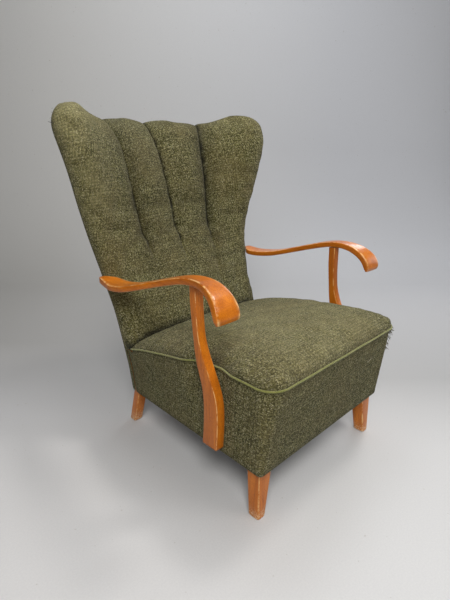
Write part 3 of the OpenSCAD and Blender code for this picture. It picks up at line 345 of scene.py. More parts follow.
def tweed_finish():
    """Coarse wool cloth: a plain weave of thick flecked yarns, each crossing with a tone of its own."""
    f = Finish("olive_tweed")
    uv, places = f.cloth_map(), f.places()
    # Cells of the weave, 2.6 mm wide, whose lines wander by up to a millimetre
    wander = f.node("TexNoise", {"Vector": places, "Scale": 55.0, "Detail": 2.0}, 1)
    shift = f.vector("SCALE", f.vector("SUBTRACT", wander, (.5, .5, .5)), .0022)
    split = f.node("SeparateXYZ", {0: f.vector("SCALE", f.vector("ADD", uv, shift), 1 / .0026)}).node
    x, y = split.outputs[0], split.outputs[1]
    ridge_x, ridge_y = [f.math("SINE", f.times(f.math("FRACT", line), math.pi)) for line in (x, y)]
    ix, iy = f.math("FLOOR", x), f.math("FLOOR", y)
    over = f.math("FLOORED_MODULO", f.math("ADD", ix, iy), 2.0)
    height = f.either(over, f.times(ridge_x, f.times(ridge_y, .45, .55)),
                      f.times(ridge_y, f.times(ridge_x, .45, .55)))
    # Tones of each crossing, each yarn and its fibres, from dark to pale olive
    crossing = f.node("TexWhiteNoise", {0: f.node("CombineXYZ", {0: ix, 1: iy})}, noise_dimensions="2D")
    yarns = [f.node("TexWhiteNoise", {1: line}, noise_dimensions="1D") for line in (ix, iy)]
    fibres = f.noise(places, 1400.0, 2.0, .7)
    tone = f.times(crossing, .74, f.times(f.either(over, *yarns), .16))
    tone = f.times(fibres, .40, f.math("SUBTRACT", tone, .125))
    woven = f.ramp(tone, (.14, (.022, .021, .006)), (.36, (.076, .071, .022)), (.60, (.150, .139, .052)),
                   (.82, (.270, .247, .125)), (1.0, (.43, .41, .27)))
    patches = f.fit(f.noise(places, 8.0, 4.0, .65), .42, .66, 0.0, .35)
    browned = f.blend(patches, woven, (.165, .128, .052, 1))
    worn = f.blend(f.times(f.mark("worn"), .6), browned, (.31, .28, .135, 1))
    # Shade of the hollows, of thicker yarns, painted shade of grooves, creases, folded edges and the hem, and
    # of soft and fine patches
    shade = f.times(height, .75, .42)
    for line, share in ((x, .12), (y, .10)):
        thick = f.math("SINE", f.times(line, math.tau / 3.4))
        shade = f.times(shade, f.times(thick, share, 1.0))
    # Painted shade: the mark darkens grooves, creases, folded edges and the hem, and the back's middle flutes
    shade = f.times(shade, f.math("SUBTRACT", 1.0, f.times(f.mark("sewn_and_painted_shade"), .8)))
    shade = f.times(shade, f.fit(f.noise(places, 28.0, 3.0), .3, .7, .87, 1.13))
    shade = f.times(shade, f.fit(f.noise(places, 240.0, 1.0), .3, .7, .72, 1.30))
    colour = f.blend(1.0, worn, f.node("CombineColor", {0: shade, 1: shade, 2: shade}), "MULTIPLY")
    return f.done(colour, .95, f.times(fibres, .35, height), .0013, .8, Sheen_Weight=.06,
                  Sheen_Roughness=.5, Specular_IOR_Level=.1)


def piping_finish():
    """Bias strip over a cord: fine yarns slanting round the cord, paler and greener than the cloth."""
    f = Finish("piping_cloth")
    slant = f.stretched(f.cloth_map(), (700, 420, 1), (0, 0, .7))
    waves = f.node("TexWave", {"Vector": slant, "Scale": .5, "Distortion": 1.5, "Detail": 2.0}, 1)
    flecks = f.noise(f.places(), 700.0, 2.0, .7)
    tone = f.times(waves, .35, f.times(flecks, .65))
    colour = f.ramp(tone, (.30, (.045, .050, .010)), (.5, (.170, .175, .040)), (.70, (.36, .36, .105)))
    worn = f.blend(f.fit(f.noise(f.places(), 18.0), .45, .7, 0.0, .5), colour, (.21, .19, .075, 1))
    return f.done(worn, .92, tone, .0009, .7, Sheen_Weight=.2, Specular_IOR_Level=.15)


def show_wood_finish(name, length):
    """Stained and lacquered beech: noise stretched along the length's axis for the figure, short flecks, and
    pale edges that are partly rubbed wear and partly a painted highlight."""
    f = Finish(name)
    places = f.places()
    def grain(along, across, detail, roughness):
        scale = tuple(along if axis == length else across for axis in range(3))
        return f.noise(f.stretched(places, scale), 1.0, detail, roughness)
    figure = grain(3.0, 34.0, 5.0, .6)
    lines = grain(9.0, 420.0, 3.0, .6)
    flecks = grain(150.0, 900.0, 1.0, .5)
    tone = f.times(lines, .4, f.times(figure, .6))
    stained = f.ramp(tone, (.30, (.29, .070, .003)), (.47, (.47, .125, .006)), (.62, (.60, .178, .009)),
                     (.75, (.74, .250, .016)))
    flecked = f.blend(f.fit(flecks, .58, .68, 0.0, .5), stained, (.19, .042, .004, 1))
    # Pale edges: partly rubbed wear, partly a painted highlight along the arrises
    worn_and_highlit_edges = f.times(f.mark("arris"), f.fit(f.noise(places, 42.0, 4.0, .7), .42, .58))
    darkened = f.blend(f.times(f.mark("arris"), .35), flecked, (.24, .060, .004, 1))
    pale = f.blend(f.times(worn_and_highlit_edges, .8), darkened, (.80, .50, .20, 1))
    scuffs = f.times(f.mark("scuffed"), f.fit(f.noise(places, 210.0, 3.0, .8), .47, .56))
    colour = f.blend(scuffs, pale, (.74, .55, .34, 1))
    gloss = f.fit(f.noise(places, 60.0, 4.0), .3, .7, .30, .48)
    return f.done(colour, f.math("ADD", gloss, f.times(scuffs, .3)),
                  f.math("SUBTRACT", lines, f.times(scuffs, .8)), .0004, .35,
                  Coat_Weight=.4, Coat_Roughness=.16, Specular_IOR_Level=.2)


def plain_wood_finish():
    """Unstained beech of the hidden frame."""
    f = Finish("frame_beech")
    lines = f.noise(f.places(), 60.0, 5.0, .65)
    colour = f.ramp(lines, (.3, (.52, .36, .21)), (.7, (.72, .56, .38)))
    return f.done(colour, .62, lines, .0004, .4)


def metal_finish(name, colour, roughness):
    """Drawn or turned metal with faint uneven dulling."""
    f = Finish(name)
    dull = f.noise(f.places(), 90.0, 3.0)
    tinted = f.blend(f.fit(dull, .3, .7, 0.0, .35), (*colour, 1), tuple(c * .6 for c in colour) + (1,))
    return f.done(tinted, f.fit(dull, .3, .7, roughness, roughness + .2), dull, .0002, .3, Metallic=1.0)


def woven_finish(name, dark, light, pitch):
    """Plain woven stuff seen from both sides: crossed sine ridges on Object coordinates."""
    f = Finish(name)
    places = f.places()
    split = f.node("SeparateXYZ", {0: places}).node
    x, y, z = [f.math("SINE", f.times(split.outputs[axis], math.tau / pitch)) for axis in range(3)]
    crossed = f.math("ADD", f.times(x, y), f.times(x, z))
    tone = f.times(crossed, .18, f.noise(places, 300.0, 3.0, .6))
    return f.done(f.ramp(tone, (.25, dark), (.75, light)), .93, tone, .0006, .6)


def thread_finish(name, dark, light):
    """Spun thread with uneven dye."""
    f = Finish(name)
    tone = f.noise(f.places(), 900.0, 2.0)
    return f.done(f.ramp(tone, (.3, dark), (.7, light)), .9, tone, .0003, .5, Sheen_Weight=.2)


# ---------------------------------------------------------------- the back
HEM_Z, BACK_RISE, BACK_FOOT_Y, BACK_LEAN, EAR_HALF = 141, 859, 523, 290, 393
BASE_Z, OVERALL_H, EAR_ROUND, FLUTE_DEPTH, NOTCH_DROP, GROOVE_FOOT_Z = 290, 1000, 60, 19, 13, 583
HALF_THICK = (38, 48)  # at the hem and at the top
# Tables by the share of the back's height, but the last two by the share of its half width
CENTRE_LEAN = [(0, 0), (.115, .031), (.226, .079), (.302, .162), (.418, .307), (.523, .448), (.632, .548),
               (.737, .638), (.839, .762), (.884, .845), (.919, .921), (.942, .966), (.971, .997), (1, 1)]
SIDE_LEAN = [(0, 0), (.115, .031), (.232, .097), (.325, .193), (.418, .279), (.511, .338), (.581, .359),
             (.651, .348), (.744, .317), (.837, .29), (.884, .293), (.93, .328), (.971, .376), (1, .421)]
BACK_WIDTH = [(0, .687), (.115, .702), (.232, .73), (.325, .738), (.418, .763), (.511, .799), (.604, .847),
              (.697, .901), (.79, .949), (.837, .972), (.884, .992), (.93, 1), (1, 1)]
SIDE_CURVE = [(0, 0), (.25, .0625), (.5, .25), (.7, .49), (.85, .72), (.95, .895), (1.04, .99), (1.15, 1.02)]
TOP_LINE = [(0, .972), (.45, .972), (.6, .974), (.72, .986), (.85, .998), (.93, 1), (1, .995)]


def back_half(z):
    """Half of the back's width at a height: the table of widths, less the round of the ear's corner,
    r - sqrt(r^2 - up^2)."""
    up = np.clip(z - (OVERALL_H - EAR_ROUND), 0, EAR_ROUND)
    return (EAR_HALF * curve(BACK_WIDTH, (z - HEM_Z) / BACK_RISE)
            - (EAR_ROUND - np.sqrt(EAR_ROUND**2 - up * up)))


def middle_depth(x, z):
    """Depth of the back's middle surface: from its centre line to its side line, by the curve of the
    ears, with the upper middle rolled to the rear."""
    rise = (z - HEM_Z) / BACK_RISE
    centre = BACK_FOOT_Y + BACK_LEAN * curve(CENTRE_LEAN, rise)
    side = BACK_FOOT_Y + BACK_LEAN * curve(SIDE_LEAN, rise)
    share = np.abs(x) / (.87 * EAR_HALF * curve(BACK_WIDTH, rise))
    rolled = 13 * ease((z - 925) / 75) * (1 - ease((np.abs(x) - 170) / 130))
    return mix(centre, side, curve(SIDE_CURVE, share)) + rolled


def flute_crown(u):
    """0 in a sewn groove and 1 on a crown: a sine across each flute, rounded by its power."""
    far = np.abs(u)
    inside = np.sin(math.pi * 2 * np.clip(far, 0, .5))
    ear = np.sin(math.pi / 2 * clamp((far - .5) / .17))
    return clamp(np.where(far <= .5, inside, ear)) ** .62


def back_at(u, t, face, inset=0.0, lift=0.0):
    """Point of the back at a place across (-1 to 1) and up (-1 hem, 0 base, 1 ridge). It lies on the
    middle surface, moved along its normal by the stuffing's half thickness towards face (-1 is front)."""
    u, t, face, inset, lift = same_shape(u, t, face, inset, lift)
    ridge = OVERALL_H * curve(TOP_LINE, np.abs(u)) - NOTCH_DROP * (1 - flute_crown(u))
    z = np.where(t < 0, mix(BASE_Z, HEM_Z, -t), mix(BASE_Z, ridge, t) - inset * ease((t - .8) / .2))
    # The outer grooves spread a little towards the ridge, as a share of the half width
    groove_at = .445 + .05 * ease((t - .85) / .15)
    s = np.where(np.abs(u) <= .5, 2 * u * groove_at, np.sign(u) * mix(groove_at, 1, 2 * np.abs(u) - 1))
    half = back_half(z)
    x = s * half - np.sign(s) * inset * clamp(2 * np.abs(u) - 1)
    roll = mix(14, 50, ease((z - BASE_Z + 50) / 200))
    edges = round_edge(half - inset - np.abs(x), roll) * round_edge(ridge - inset - z, 78)
    flute = FLUTE_DEPTH * ease((z - GROOVE_FOOT_Z + 4) / 40) * (1 - flute_crown(u))
    groove = np.where(face < 0, flute, 0)
    thick = np.maximum(0, (mix(*HALF_THICK, (z - HEM_Z) / BACK_RISE) - inset - groove) * edges)
    lean_x = (middle_depth(x - 3, z) - middle_depth(x + 3, z)) / 6
    lean_z = (middle_depth(x, z - 3) - middle_depth(x, z + 3)) / 6
    normal = unit(np.stack([lean_x, np.ones_like(x), lean_z], -1))
    return np.stack([x, middle_depth(x, z), z], -1) + (face * thick + lift)[..., None] * normal


def back_lines():
    """Places across the back: close together beside the grooves and round the rolls of the ears."""
    s = shares(15)
    flute = .5 * (s - .11 * np.sin(math.tau * s))
    rise = .5 + .17 * shares(8)[1:] ** 1.5
    flat = np.linspace(.67, .86, 8)[1:]
    roll = 1 - .14 * (1 - np.sin(np.linspace(0, QUARTER, 10)[1:]))
    half = joined(flute, rise, flat, roll)
    return joined(-half[:0:-1], half)


def back_rows():
    """Places round the back's section: up the front, over the ridge, down the rear to the hem, and up
    inside the hem to the base of the stuffing. Gives t, face and inset by row, and how many are front."""
    fold = 2.4
    over = 1 - .11 * (1 - np.sin(np.linspace(0, QUARTER, 10)))
    front = joined(np.linspace(0, .89, 52), over[1:])
    rear = joined(over[-2::-1], np.linspace(.89, 0, 30)[1:])
    skirt = np.linspace(0, -1, 9)[1:]
    inner = np.linspace(-1, 0, 9)
    t = joined(front, rear, skirt, inner, np.zeros(3))
    outer = len(front) + len(rear) + len(skirt)
    face = joined(-np.ones(len(front)), np.ones(len(t) - len(front) - 3), [.5, 0, -.5])
    inset = joined(np.zeros(outer), np.full(len(inner), fold), [fold, fold, fold / 2])
    return t, face, inset, len(front)


def make_back(tweed):
    """The padded back: one closed envelope, fluted in front, blown up by cloth between its sewn grooves.
    Gives its points up each groove, and up the front's near edge."""
    u = back_lines()
    t, face, inset, front = back_rows()
    uu, tt = np.meshgrid(u, t)
    out = np.abs(uu)
    side = round_edge((1 - out) * 200, 20)
    shape = back_at(uu, tt, face[:, None], inset[:, None] * side)
    is_front = np.arange(len(t))[:, None] < front
    heights = shape[..., 2]
    # The near ear spreads wider than the far one, and both ears have sunk a little
    shape[..., 0] -= 6 * ease((heights - 780) / 150) * ease((-uu - .55) / .4)
    shape[..., 2] -= 5 * ease((heights - 860) / 140) * ease((out - .5) / .2)
    sewn_and_painted_shade = np.isclose(out, .5) | np.isclose(uu, 0)
    held = (tt < .02) | (tt > .995) | (out > .98) | (sewn_and_painted_shade & (heights > GROOVE_FOOT_Z))
    shape[1:front - 1, 1:-1] = puffed(shape[1:front - 1, 1:-1], held[1:front - 1, 1:-1])
    # Sewing: the groove's last few millimetres, a dimple where it ends, and faint puckers below it
    columns = [int(np.abs(u - place).argmin()) for place in (-.5, 0, .5)]
    away = np.abs(shape[..., None, 0] - shape[:, None, columns, 0]).min(-1)
    above = heights - GROOVE_FOOT_Z
    strength = ease((above + 6) / 16)
    crease = 5.0 * bell(away, 3.0) * strength * (tt < .985)
    dimple = 5.5 * bell(away, 8, above, 12)
    puckers = .8 * bell(away, 26, above + 13, 26) * np.cos(away / 2.6)
    soft = .9 * ripple(shape, 120, 3) + .45 * ripple(shape, 45, 5)
    push = np.where(is_front, crease + dimple + puckers, 0) + soft * (out < .97) * (tt > -.5)
    shape = shape - push[..., None] * outwards(shape)
    # Paler where it is worn: the roll of the near ear and the top edge
    top_edge = bell(tt - .97, .07)
    near_roll = bell(uu + .93, .10) * ease((tt - .2) / .5)
    worn = .75 * near_roll + .35 * top_edge * (uu < -.55) + .15 * top_edge
    worn = clamp(worn * (.7 + .5 * ripple(shape, 60, 9))) * is_front
    # Painted shade along the seams, in the dimples where they end, beside the outer grooves and in the crease
    # above the seat; darker too over the middle flutes
    groove_shade = np.maximum(1.15 * bell(away, 3.2), .42 * bell(away, 11) * ease((above - 57) / 120))
    darker_flutes_and_groove_shade = .22 * (1 - ease((out - .5) / .25)) + .28 * bell(out - .5, .09)
    seat_top = seam_at(485) + crown_height(shape[..., 0] / 271, 400, 19)
    dark = np.maximum.reduce([groove_shade * strength, .8 * bell(away, 6, above, 8),
                              darker_flutes_and_groove_shade * ease((heights - 420) / 200),
                              bell(np.clip(heights - seat_top, 0, None), 8)])
    piece = upholstered("back_cushion", shape, worn, dark * is_front)
    finished(piece, tweed, "tweed", "back_cover", "back_stuffing", "back_canvas",
                       "back_straps_across", "back_straps_up")
    return [shape[:front, k] for k in columns], shape[:front, 0]


def make_outside_back(tweed):
    """The outside back: one stretched sheet over the rear, its folded edges inside the rolls."""
    edge_u, edge_t = .92, .955
    u = np.sin(np.linspace(1, -1, 61) * math.pi / 2 * .83) / math.sin(math.pi / 2 * .83) * edge_u
    t = joined(np.linspace(-1, .88, 60), np.linspace(.9, edge_t, 5))
    uu, tt = np.meshgrid(u, t)
    edge = clamp(np.minimum((edge_u - np.abs(uu)) * 14, (edge_t - tt) * 18))
    points = back_at(uu, tt, 1, 0, .5 + 1.4 * edge)
    points[..., 1] += 0.5 * ripple(points, 160, 21) * edge
    # Painted shade along the folded edges, in the second mark
    piece = surface("outside_back_sheet", points, marks={"worn": 0, "sewn_and_painted_shade": .5 * (1 - edge) ** 2},
                    welded=False)
    thicken(piece, .0016)
    finished(piece, tweed, "tweed", "outside_back")


# ---------------------------------------------------------------- the seat
SEAM_Z, SEAT_FALL, SEAT_HALF, OVERHANG, SEAT_REAR_Y, CROWN = 382, 78, 286, 47, 504, 49
SEAM_FALL = [(0, 0), (.2, 0), (.33, .05), (.46, .17), (.66, .43), (.87, .74), (1, 1)]
HEM_OVERHANG, HEM_CORNER, SEAM_CORNER, CROWN_RUN = 14, 13, 50, 170
POST_Y, POST_DEEP, POST_PINCH = 107, 94, 14.7
POST_MIDDLE = POST_Y + .62 * POST_DEEP


def seam_at(y):
    """Height of the seam: level in front, then falling to the rear by a table of shares."""
    return SEAM_Z - SEAT_FALL * curve(SEAM_FALL, clamp((y + OVERHANG) / (SEAT_REAR_Y + OVERHANG)))


def side_x(y, w):
    """Half width of the seat at a depth and a share w of the way from hem to seam. The arm posts press
    it in."""
    hem = SEAT_HALF - 5 - 9 * clamp((y + OVERHANG) / (SEAT_REAR_Y + OVERHANG))
    pinch = POST_PINCH * (1 - ease((np.abs(y - POST_MIDDLE) - .36 * POST_DEEP) / (.7 * POST_DEEP)))
    return mix(hem, SEAT_HALF - pinch, clamp(w) ** 1.3)


def front_y(w):
    """Depth of the front face, overhanging more towards the seam."""
    return -mix(HEM_OVERHANG, OVERHANG, clamp(w) ** 1.15)


def outline(place, w, inset):
    """Right half of the seat's outline at a share w of the way from hem to seam. place runs 0 to 1 along
    the front, 1 to 2 round the corner on a quarter circle, and 2 to 3 along the side to the rear."""
    place, w = np.broadcast_arrays(place, w)
    r = mix(HEM_CORNER, SEAM_CORNER, clamp(w))
    y0 = front_y(w) + r
    x0 = side_x(y0, w) - r
    a = QUARTER * clamp(place - 1)
    y = np.where(place <= 2, y0 - (r - inset) * np.cos(a), mix(y0, SEAT_REAR_Y, clamp(place - 2)))
    x = np.where(place <= 1, x0 * clamp(place),
                 np.where(place <= 2, x0 + (r - inset) * np.sin(a), side_x(y, w) - inset))
    return np.stack([x, y], -1)


def both_sides(right):
    """The right half of a line with its mirror image before it."""
    return joined(right[:0:-1] * [-1, 1], right)


def seam_share(z):
    """Height as a share of the way from the hem to the front seam."""
    return (z - HEM_Z) / (SEAM_Z - HEM_Z)


def crown_height(across, from_front, from_rear):
    """Rise of the seat above its seam. Side and front each let it rise steeply from their seam to 1; the
    two shares s and f join as s f / sqrt(s^2 + f^2 - s^2 f^2), which keeps the corners full."""
    side = 1 - clamp(np.abs(across)) ** 4
    front = 1 - (1 - clamp(from_front / CROWN_RUN)) ** 3
    both = side * front / np.sqrt(np.maximum(side**2 + front**2 - (side * front) ** 2, 1e-9))
    return CROWN * both ** .46 * (1 - .42 * (1 - clamp(from_rear / CROWN_RUN)) ** 2)


def make_seat(tweed):
    """The crowned seat: a closed form sewn along its seam, rolled down at the rear into the crease."""
    tuck, rear_r, underside = 2.6, 12, 34
    first = both_sides(outline(runs(0, 18, 1, 13, 2), 1.0, -tuck))
    end_y = SEAT_REAR_Y - rear_r
    f = shares(54)[:, None] ** 1.35
    x_at = side_x(mix(front_y(1.0) + SEAM_CORNER, end_y, f), 1.0) + tuck
    x = first[:, 0] / first[-1, 0] * x_at
    y = mix(first[:, 1], end_y, f)
    across, from_front = x / x_at, y - first[:, 1]
    top = crown_height(across, from_front, SEAT_REAR_Y - y)
    under = (underside * (1 - np.abs(across) ** 8) ** .5
             * (1 - (1 - clamp(from_front / SEAM_CORNER)) ** 3) ** .5)
    seam = seam_at(y)
    upper = np.stack([x, y, seam + top], -1)
    lower = np.stack([x * (1 - .02 * (under > 1)), y, seam - under], -1)[::-1]
    # The rear edge is a half ellipse from the upper to the lower face
    turn = np.linspace(QUARTER, -QUARTER, 10)[1:-1, None]
    middle = (upper[-1, :, 2] + lower[0, :, 2]) / 2
    reach = (upper[-1, :, 2] - lower[0, :, 2]) / 2
    roll = np.stack([np.broadcast_to(x[-1], (len(turn), len(first))),
                     end_y + rear_r * np.cos(turn) * (reach > 1), middle + reach * np.sin(turn)], -1)
    shape = joined(upper, roll, lower)
    rows = len(upper)
    rim = np.ones((rows - 1, len(first) - 2), bool)
    rim[1:-1, 1:-1] = False
    shape[1:rows, 1:-1] = puffed(shape[1:rows, 1:-1], rim)
    free = joined(np.minimum(1, top / 25), np.zeros((len(shape) - rows, len(first))))
    shape[..., 2] += free * (1.5 * ripple(shape, 190, 31) + .6 * ripple(shape, 70, 33))
    # Paler on the crown; painted shade in the crease before the back and beside the posts, where they press
    # the seat in
    x, y, z = shape[..., 0], shape[..., 1], shape[..., 2]
    crown = np.exp(-((x / 230) ** 4 + ((y - 90) / 220) ** 4))
    worn = free * clamp(crown * (.55 + .25 * ripple(shape, 90, 35)))
    back_front = middle_depth(x, z) - mix(*HALF_THICK, (z - HEM_Z) / BACK_RISE)
    crease = bell(np.clip(back_front - y, 0, None), 9)
    post_shade = .6 * bell(y - POST_MIDDLE + 14, 46, SEAT_HALF - np.abs(x), 34)
    piece = upholstered("seat_cushion", shape, worn, np.maximum(crease, post_shade))
    finished(piece, tweed, "tweed", "seat_cover", "seat_stuffing", "edge_roll_front",
                       "edge_roll_left", "edge_roll_right", "spring_canvas", "spring_lashing")


def seam_path(out):
    """Line round the seat at the seam, out millimetres outside it, from rear left to rear right."""
    place = runs(0, 24, 1, 16, 2, 90, 3)
    line = both_sides(outline(place, 1.0, -out))
    return joined(line, seam_at(line[:, 1])[:, None], axis=-1)


def tube(name, path, radius, sides=12):
    """Round tube: a circle carried along a path, its ends drawn in to a point."""
    heading = unit(np.gradient(path, axis=0))
    aside = unit(np.cross(heading, np.array([0, 0, 1.0]) + 1e-4))
    above = np.cross(aside, heading)
    a = math.tau * np.arange(sides) / sides
    radius = np.broadcast_to(radius, len(path))[:, None, None]
    rings = path[:, None] + radius * (np.cos(a)[None, :, None] * aside[:, None]
                                      + np.sin(a)[None, :, None] * above[:, None])
    return surface(name, closed_ends(rings, .6 * float(radius.max())), (False, True))


def closed_ends(rings, bulge):
    """Adds three rings that shrink to a point beyond each end, bulging on a quarter ellipse."""
    a = np.radians([30, 60, 90])[:, None, None]
    def end(ring, before):
        centre = ring.mean(0)
        out = unit(centre - before.mean(0))
        return centre + (ring - centre) * np.cos(a) + out * bulge * np.sin(a)
    return joined(end(rings[0], rings[1])[::-1], rings, end(rings[-1], rings[-2]))


def make_piping(material):
    """Piping: a covered cord sewn in along the seam."""
    path = seam_path(3.4)
    path[:, 2] += .35 * np.sin(run_lengths(path, 0) / 23)
    piece = tube("seat_piping_cord", path, 2.75 + .15 * np.sin(run_lengths(path, 0) / 4.3))
    finished(piece, material, "piping", "seat_piping")


def make_border(tweed):
    """The borders as one padded band from the hem to the seam, round the front and both sides. Its places
    run on from 3 to 4 from the side to the edge of the back."""
    place = runs(0, 16, 1, 11, 2, 50, 3, 9, 4)
    rows = shares(22)
    def face(inset, up):
        """Rows of the band at an inset: the outline where it meets each height's share of the seam."""
        y1 = np.where(place <= 3, outline(place, 1.0, 0.0)[:, 1], SEAT_REAR_Y)
        top = np.where(place <= 3, seam_at(y1) - .6, BASE_Z - .3)
        z = mix(HEM_Z, top, up[:, None])
        flat = outline(place, (z - HEM_Z) / (seam_at(y1) - HEM_Z), inset)
        share = clamp(place - 3)
        edge = back_half(z)
        x = mix(flat[..., 0], edge - inset, share)
        y = mix(flat[..., 1], middle_depth(edge, z) - .6, share)
        return np.stack([x, y, z], -1)
    outer = face(0.0, rows)
    thick = np.where(place > 3, 2.4, 7.0)
    right = joined(outer, face(thick / 2, rows[-1:]), face(thick, rows[::-1]),
                   face(thick / 2, rows[:1]))
    swell = 1.6 * np.sin(math.pi * rows)[:, None] * (place < 2.4)
    right[:len(rows), :, :2] += swell[..., None] * unit(outer[..., :2] - [0, 200])
    whole = joined(right[:, :0:-1] * [-1, 1, 1], right, axis=1)
    number = np.arange(len(whole))[:, None]
    outside = (number > 0) & (number < len(rows) - 1)
    waves = .7 * ripple(whole, 130, 41) + .35 * ripple(whole, 50, 43)
    whole = whole + (outside * waves)[..., None] * outwards(whole) * .8
    along = joined(rows, [1.02], 1.04 + rows, [2.06])[:, None] * .24
    # Painted shade towards the hem, at the band's lower edge
    piece = upholstered("seat_border", whole, 0, bell(whole[..., 2] - HEM_Z, 16) * .35, along)
    finished(piece, tweed, "tweed", "front_border", "side_border_left", "side_border_right",
                       "front_wadding", "side_wadding_left", "side_wadding_right")


def make_bottom_cloth(lining):
    """Dust cloth under the seat: a sheet cut round the legs that sags a little between the rails."""
    side, leg_in, front, leg_back, post_front, rear = 265.5, 223.1, 2.2, 40.6, 522.4, 554.0
    x = runs(-side, 5, -leg_in, 41, leg_in, 5, side)
    y = runs(front, 5, leg_back, 41, post_front, 4, rear)
    xx, yy = np.meshgrid(x, y)
    sag = clamp(1 - (xx / side) ** 2) * clamp(1 - ((yy - 275) / 272) ** 2)
    keep = (np.abs(xx) <= leg_in + .01) | ((yy >= leg_back - .01) & (yy <= post_front + .01))
    at = np.arange(xx.size).reshape(xx.shape)
    cell = keep[:-1, :-1] & keep[1:, :-1] & keep[:-1, 1:] & keep[1:, 1:]
    quads = np.stack([at[:-1, :-1], at[:-1, 1:], at[1:, 1:], at[1:, :-1]], -1)[cell]
    used = np.unique(quads)
    points = np.stack([xx, yy, 141.7 - 9 * sag], -1).reshape(-1, 3)[used]
    piece = new_piece("dust_cloth", points, np.searchsorted(used, quads))
    thicken(piece, .0008)
    finished(piece, lining, "lining", "bottom_cloth", "seat_straps_across", "seat_straps_along")


# ---------------------------------------------------------------- show-wood
ARM_Y, ARM_LENGTH, ARM_LOW_Z, ARM_RISE, ARM_INNER_X, SCROLL_W, ARM_HALF = 64, 526, 508, 84, 276, 72, 9
SOLE_ROWS = [.3, 1, 2, 3.2, 4.5]
# Place along the arm, rise, thickness, and inner and outer side, as shares of the sizes above
ARM_STATIONS = np.array([
    (.001, .2, .35, .02, .96), (.004, .3, .8, .005, .99), (.017, .5, 1.05, 0, .965), (.04, .67, 1.12, 0, .9),
    (.074, .82, 1.12, 0, .81), (.116, .93, 1.07, 0, .73), (.173, .99, 1, .01, .65), (.24, .98, .96, .03, .63),
    (.306, .905, .95, .03, .625), (.392, .756, .94, .03, .65), (.506, .536, .92, .03, .74),
    (.61, .333, .92, .03, .86), (.722, .137, .95, .02, .965), (.838, .018, .97, .005, .95),
    (.914, 0, 1, 0, .83), (.952, .018, 1.06, .07, .775), (.981, .036, 1.08, .24, .735),
    (1, .048, 1.04, .36, .70), (1.013, .053, .86, .40, .65)])
# Front and rear of the arm post as shares of POST_DEEP, by the share of its height
POST_FRONT = [(0, .05), (.11, .012), (.222, 0), (.3, .02), (.36, .074), (.44, .22), (.52, .394), (.6, .56),
              (.68, .675), (.75, .72), (.828, .745), (.91, .76), (1, .77)]
POST_REAR = [(0, .606), (.13, .55), (.265, .532), (.34, .555), (.403, .606), (.47, .7), (.532, .79),
             (.62, .86), (.709, .904), (.8, .95), (.883, .985), (1, 1.01)]


def arm_rings(sides, per_station):
    """Rings of an arm: a rounded rectangle square to a path that climbs from the scroll and falls to the
    rear. Gives too how near each point is to an arris."""
    last = len(ARM_STATIONS) - 1
    steps = np.linspace(0, last, last * per_station + 1)
    place = np.interp(steps, np.arange(last + 1), ARM_STATIONS[:, 0])
    arch, thick, inner, outer = (curve(ARM_STATIONS[:, [0, k]], place) for k in (1, 2, 3, 4))
    path = np.stack([0 * place, ARM_Y + place * ARM_LENGTH, ARM_LOW_Z + arch * ARM_RISE], -1)
    heading = unit(np.gradient(path, axis=0))
    normal = np.stack([0 * place, -heading[:, 2], heading[:, 1]], -1)
    a = math.tau * np.arange(sides) / sides
    def squared(v):
        return np.sign(v) * np.abs(v) ** .30
    out = ARM_HALF * thick[:, None] * squared(np.cos(a))
    rings = path[:, None] + out[..., None] * normal[:, None]
    inner, outer = [(ARM_INNER_X + share * SCROLL_W)[:, None] for share in (inner, outer)]
    rings[..., 0] = mix(inner, outer, .5 + squared(np.sin(a)) / 2)
    return rings, np.abs(np.sin(2 * a)) ** 6 * np.ones((len(place), 1))


def raised(flat, z):
    """Flat rings with a height for every ring or point."""
    return joined(flat, np.broadcast_to(z, flat.shape[:2])[..., None], axis=-1)


def wooden_pair(stem, shape, wood, arris, scuffed=0.0):
    """The left and the right piece of one shape. Its marks run on over the rings of closed_ends."""
    marks = {name: np.pad(np.broadcast_to(mark, arris.shape), ((3, 3), (0, 0)), "edge")
             for name, mark in (("arris", arris), ("scuffed", scuffed))}
    for side, word in ((-1, "left"), (1, "right")):
        piece = surface(f"{stem}_wood_{word}", shape * [side, 1, 1], (False, True), marks=marks)
        finished(piece, wood, "show_wood", f"{stem}_{word}")


def make_arms(wood):
    """Both arms."""
    rings, corner = arm_rings(48, 7)
    wooden_pair("arm", closed_ends(rings, 2.0), wood, corner)


def arm_under(y):
    """Height of the underside of the arm at a depth."""
    rings, _ = arm_rings(12, 1)
    low = rings[4:, 6]
    return np.interp(y, low[:, 1], low[:, 2])


def rounded_bar(x0, x1, y0, y1, r):
    """Rings of a bar: rectangles from x0, y0 to x1, y1 with each corner a quarter circle of radius r.
    Gives too how near each point is to an arris."""
    x0, x1, y0, y1, r = [v[:, None] for v in same_shape(x0, x1, y0, y1, r)]
    a = np.linspace(0, QUARTER, 5)
    rings = []
    for cx, cy in ((x1 - r, y1 - r), (x0 + r, y1 - r), (x0 + r, y0 + r), (x1 - r, y0 + r)):
        turn = a + len(rings) * QUARTER
        rings.append(np.stack([cx + r * np.cos(turn), cy + r * np.sin(turn)], -1))
    return np.concatenate(rings, 1), np.tile(np.sin(2 * a) ** 3, (len(x0), 4))


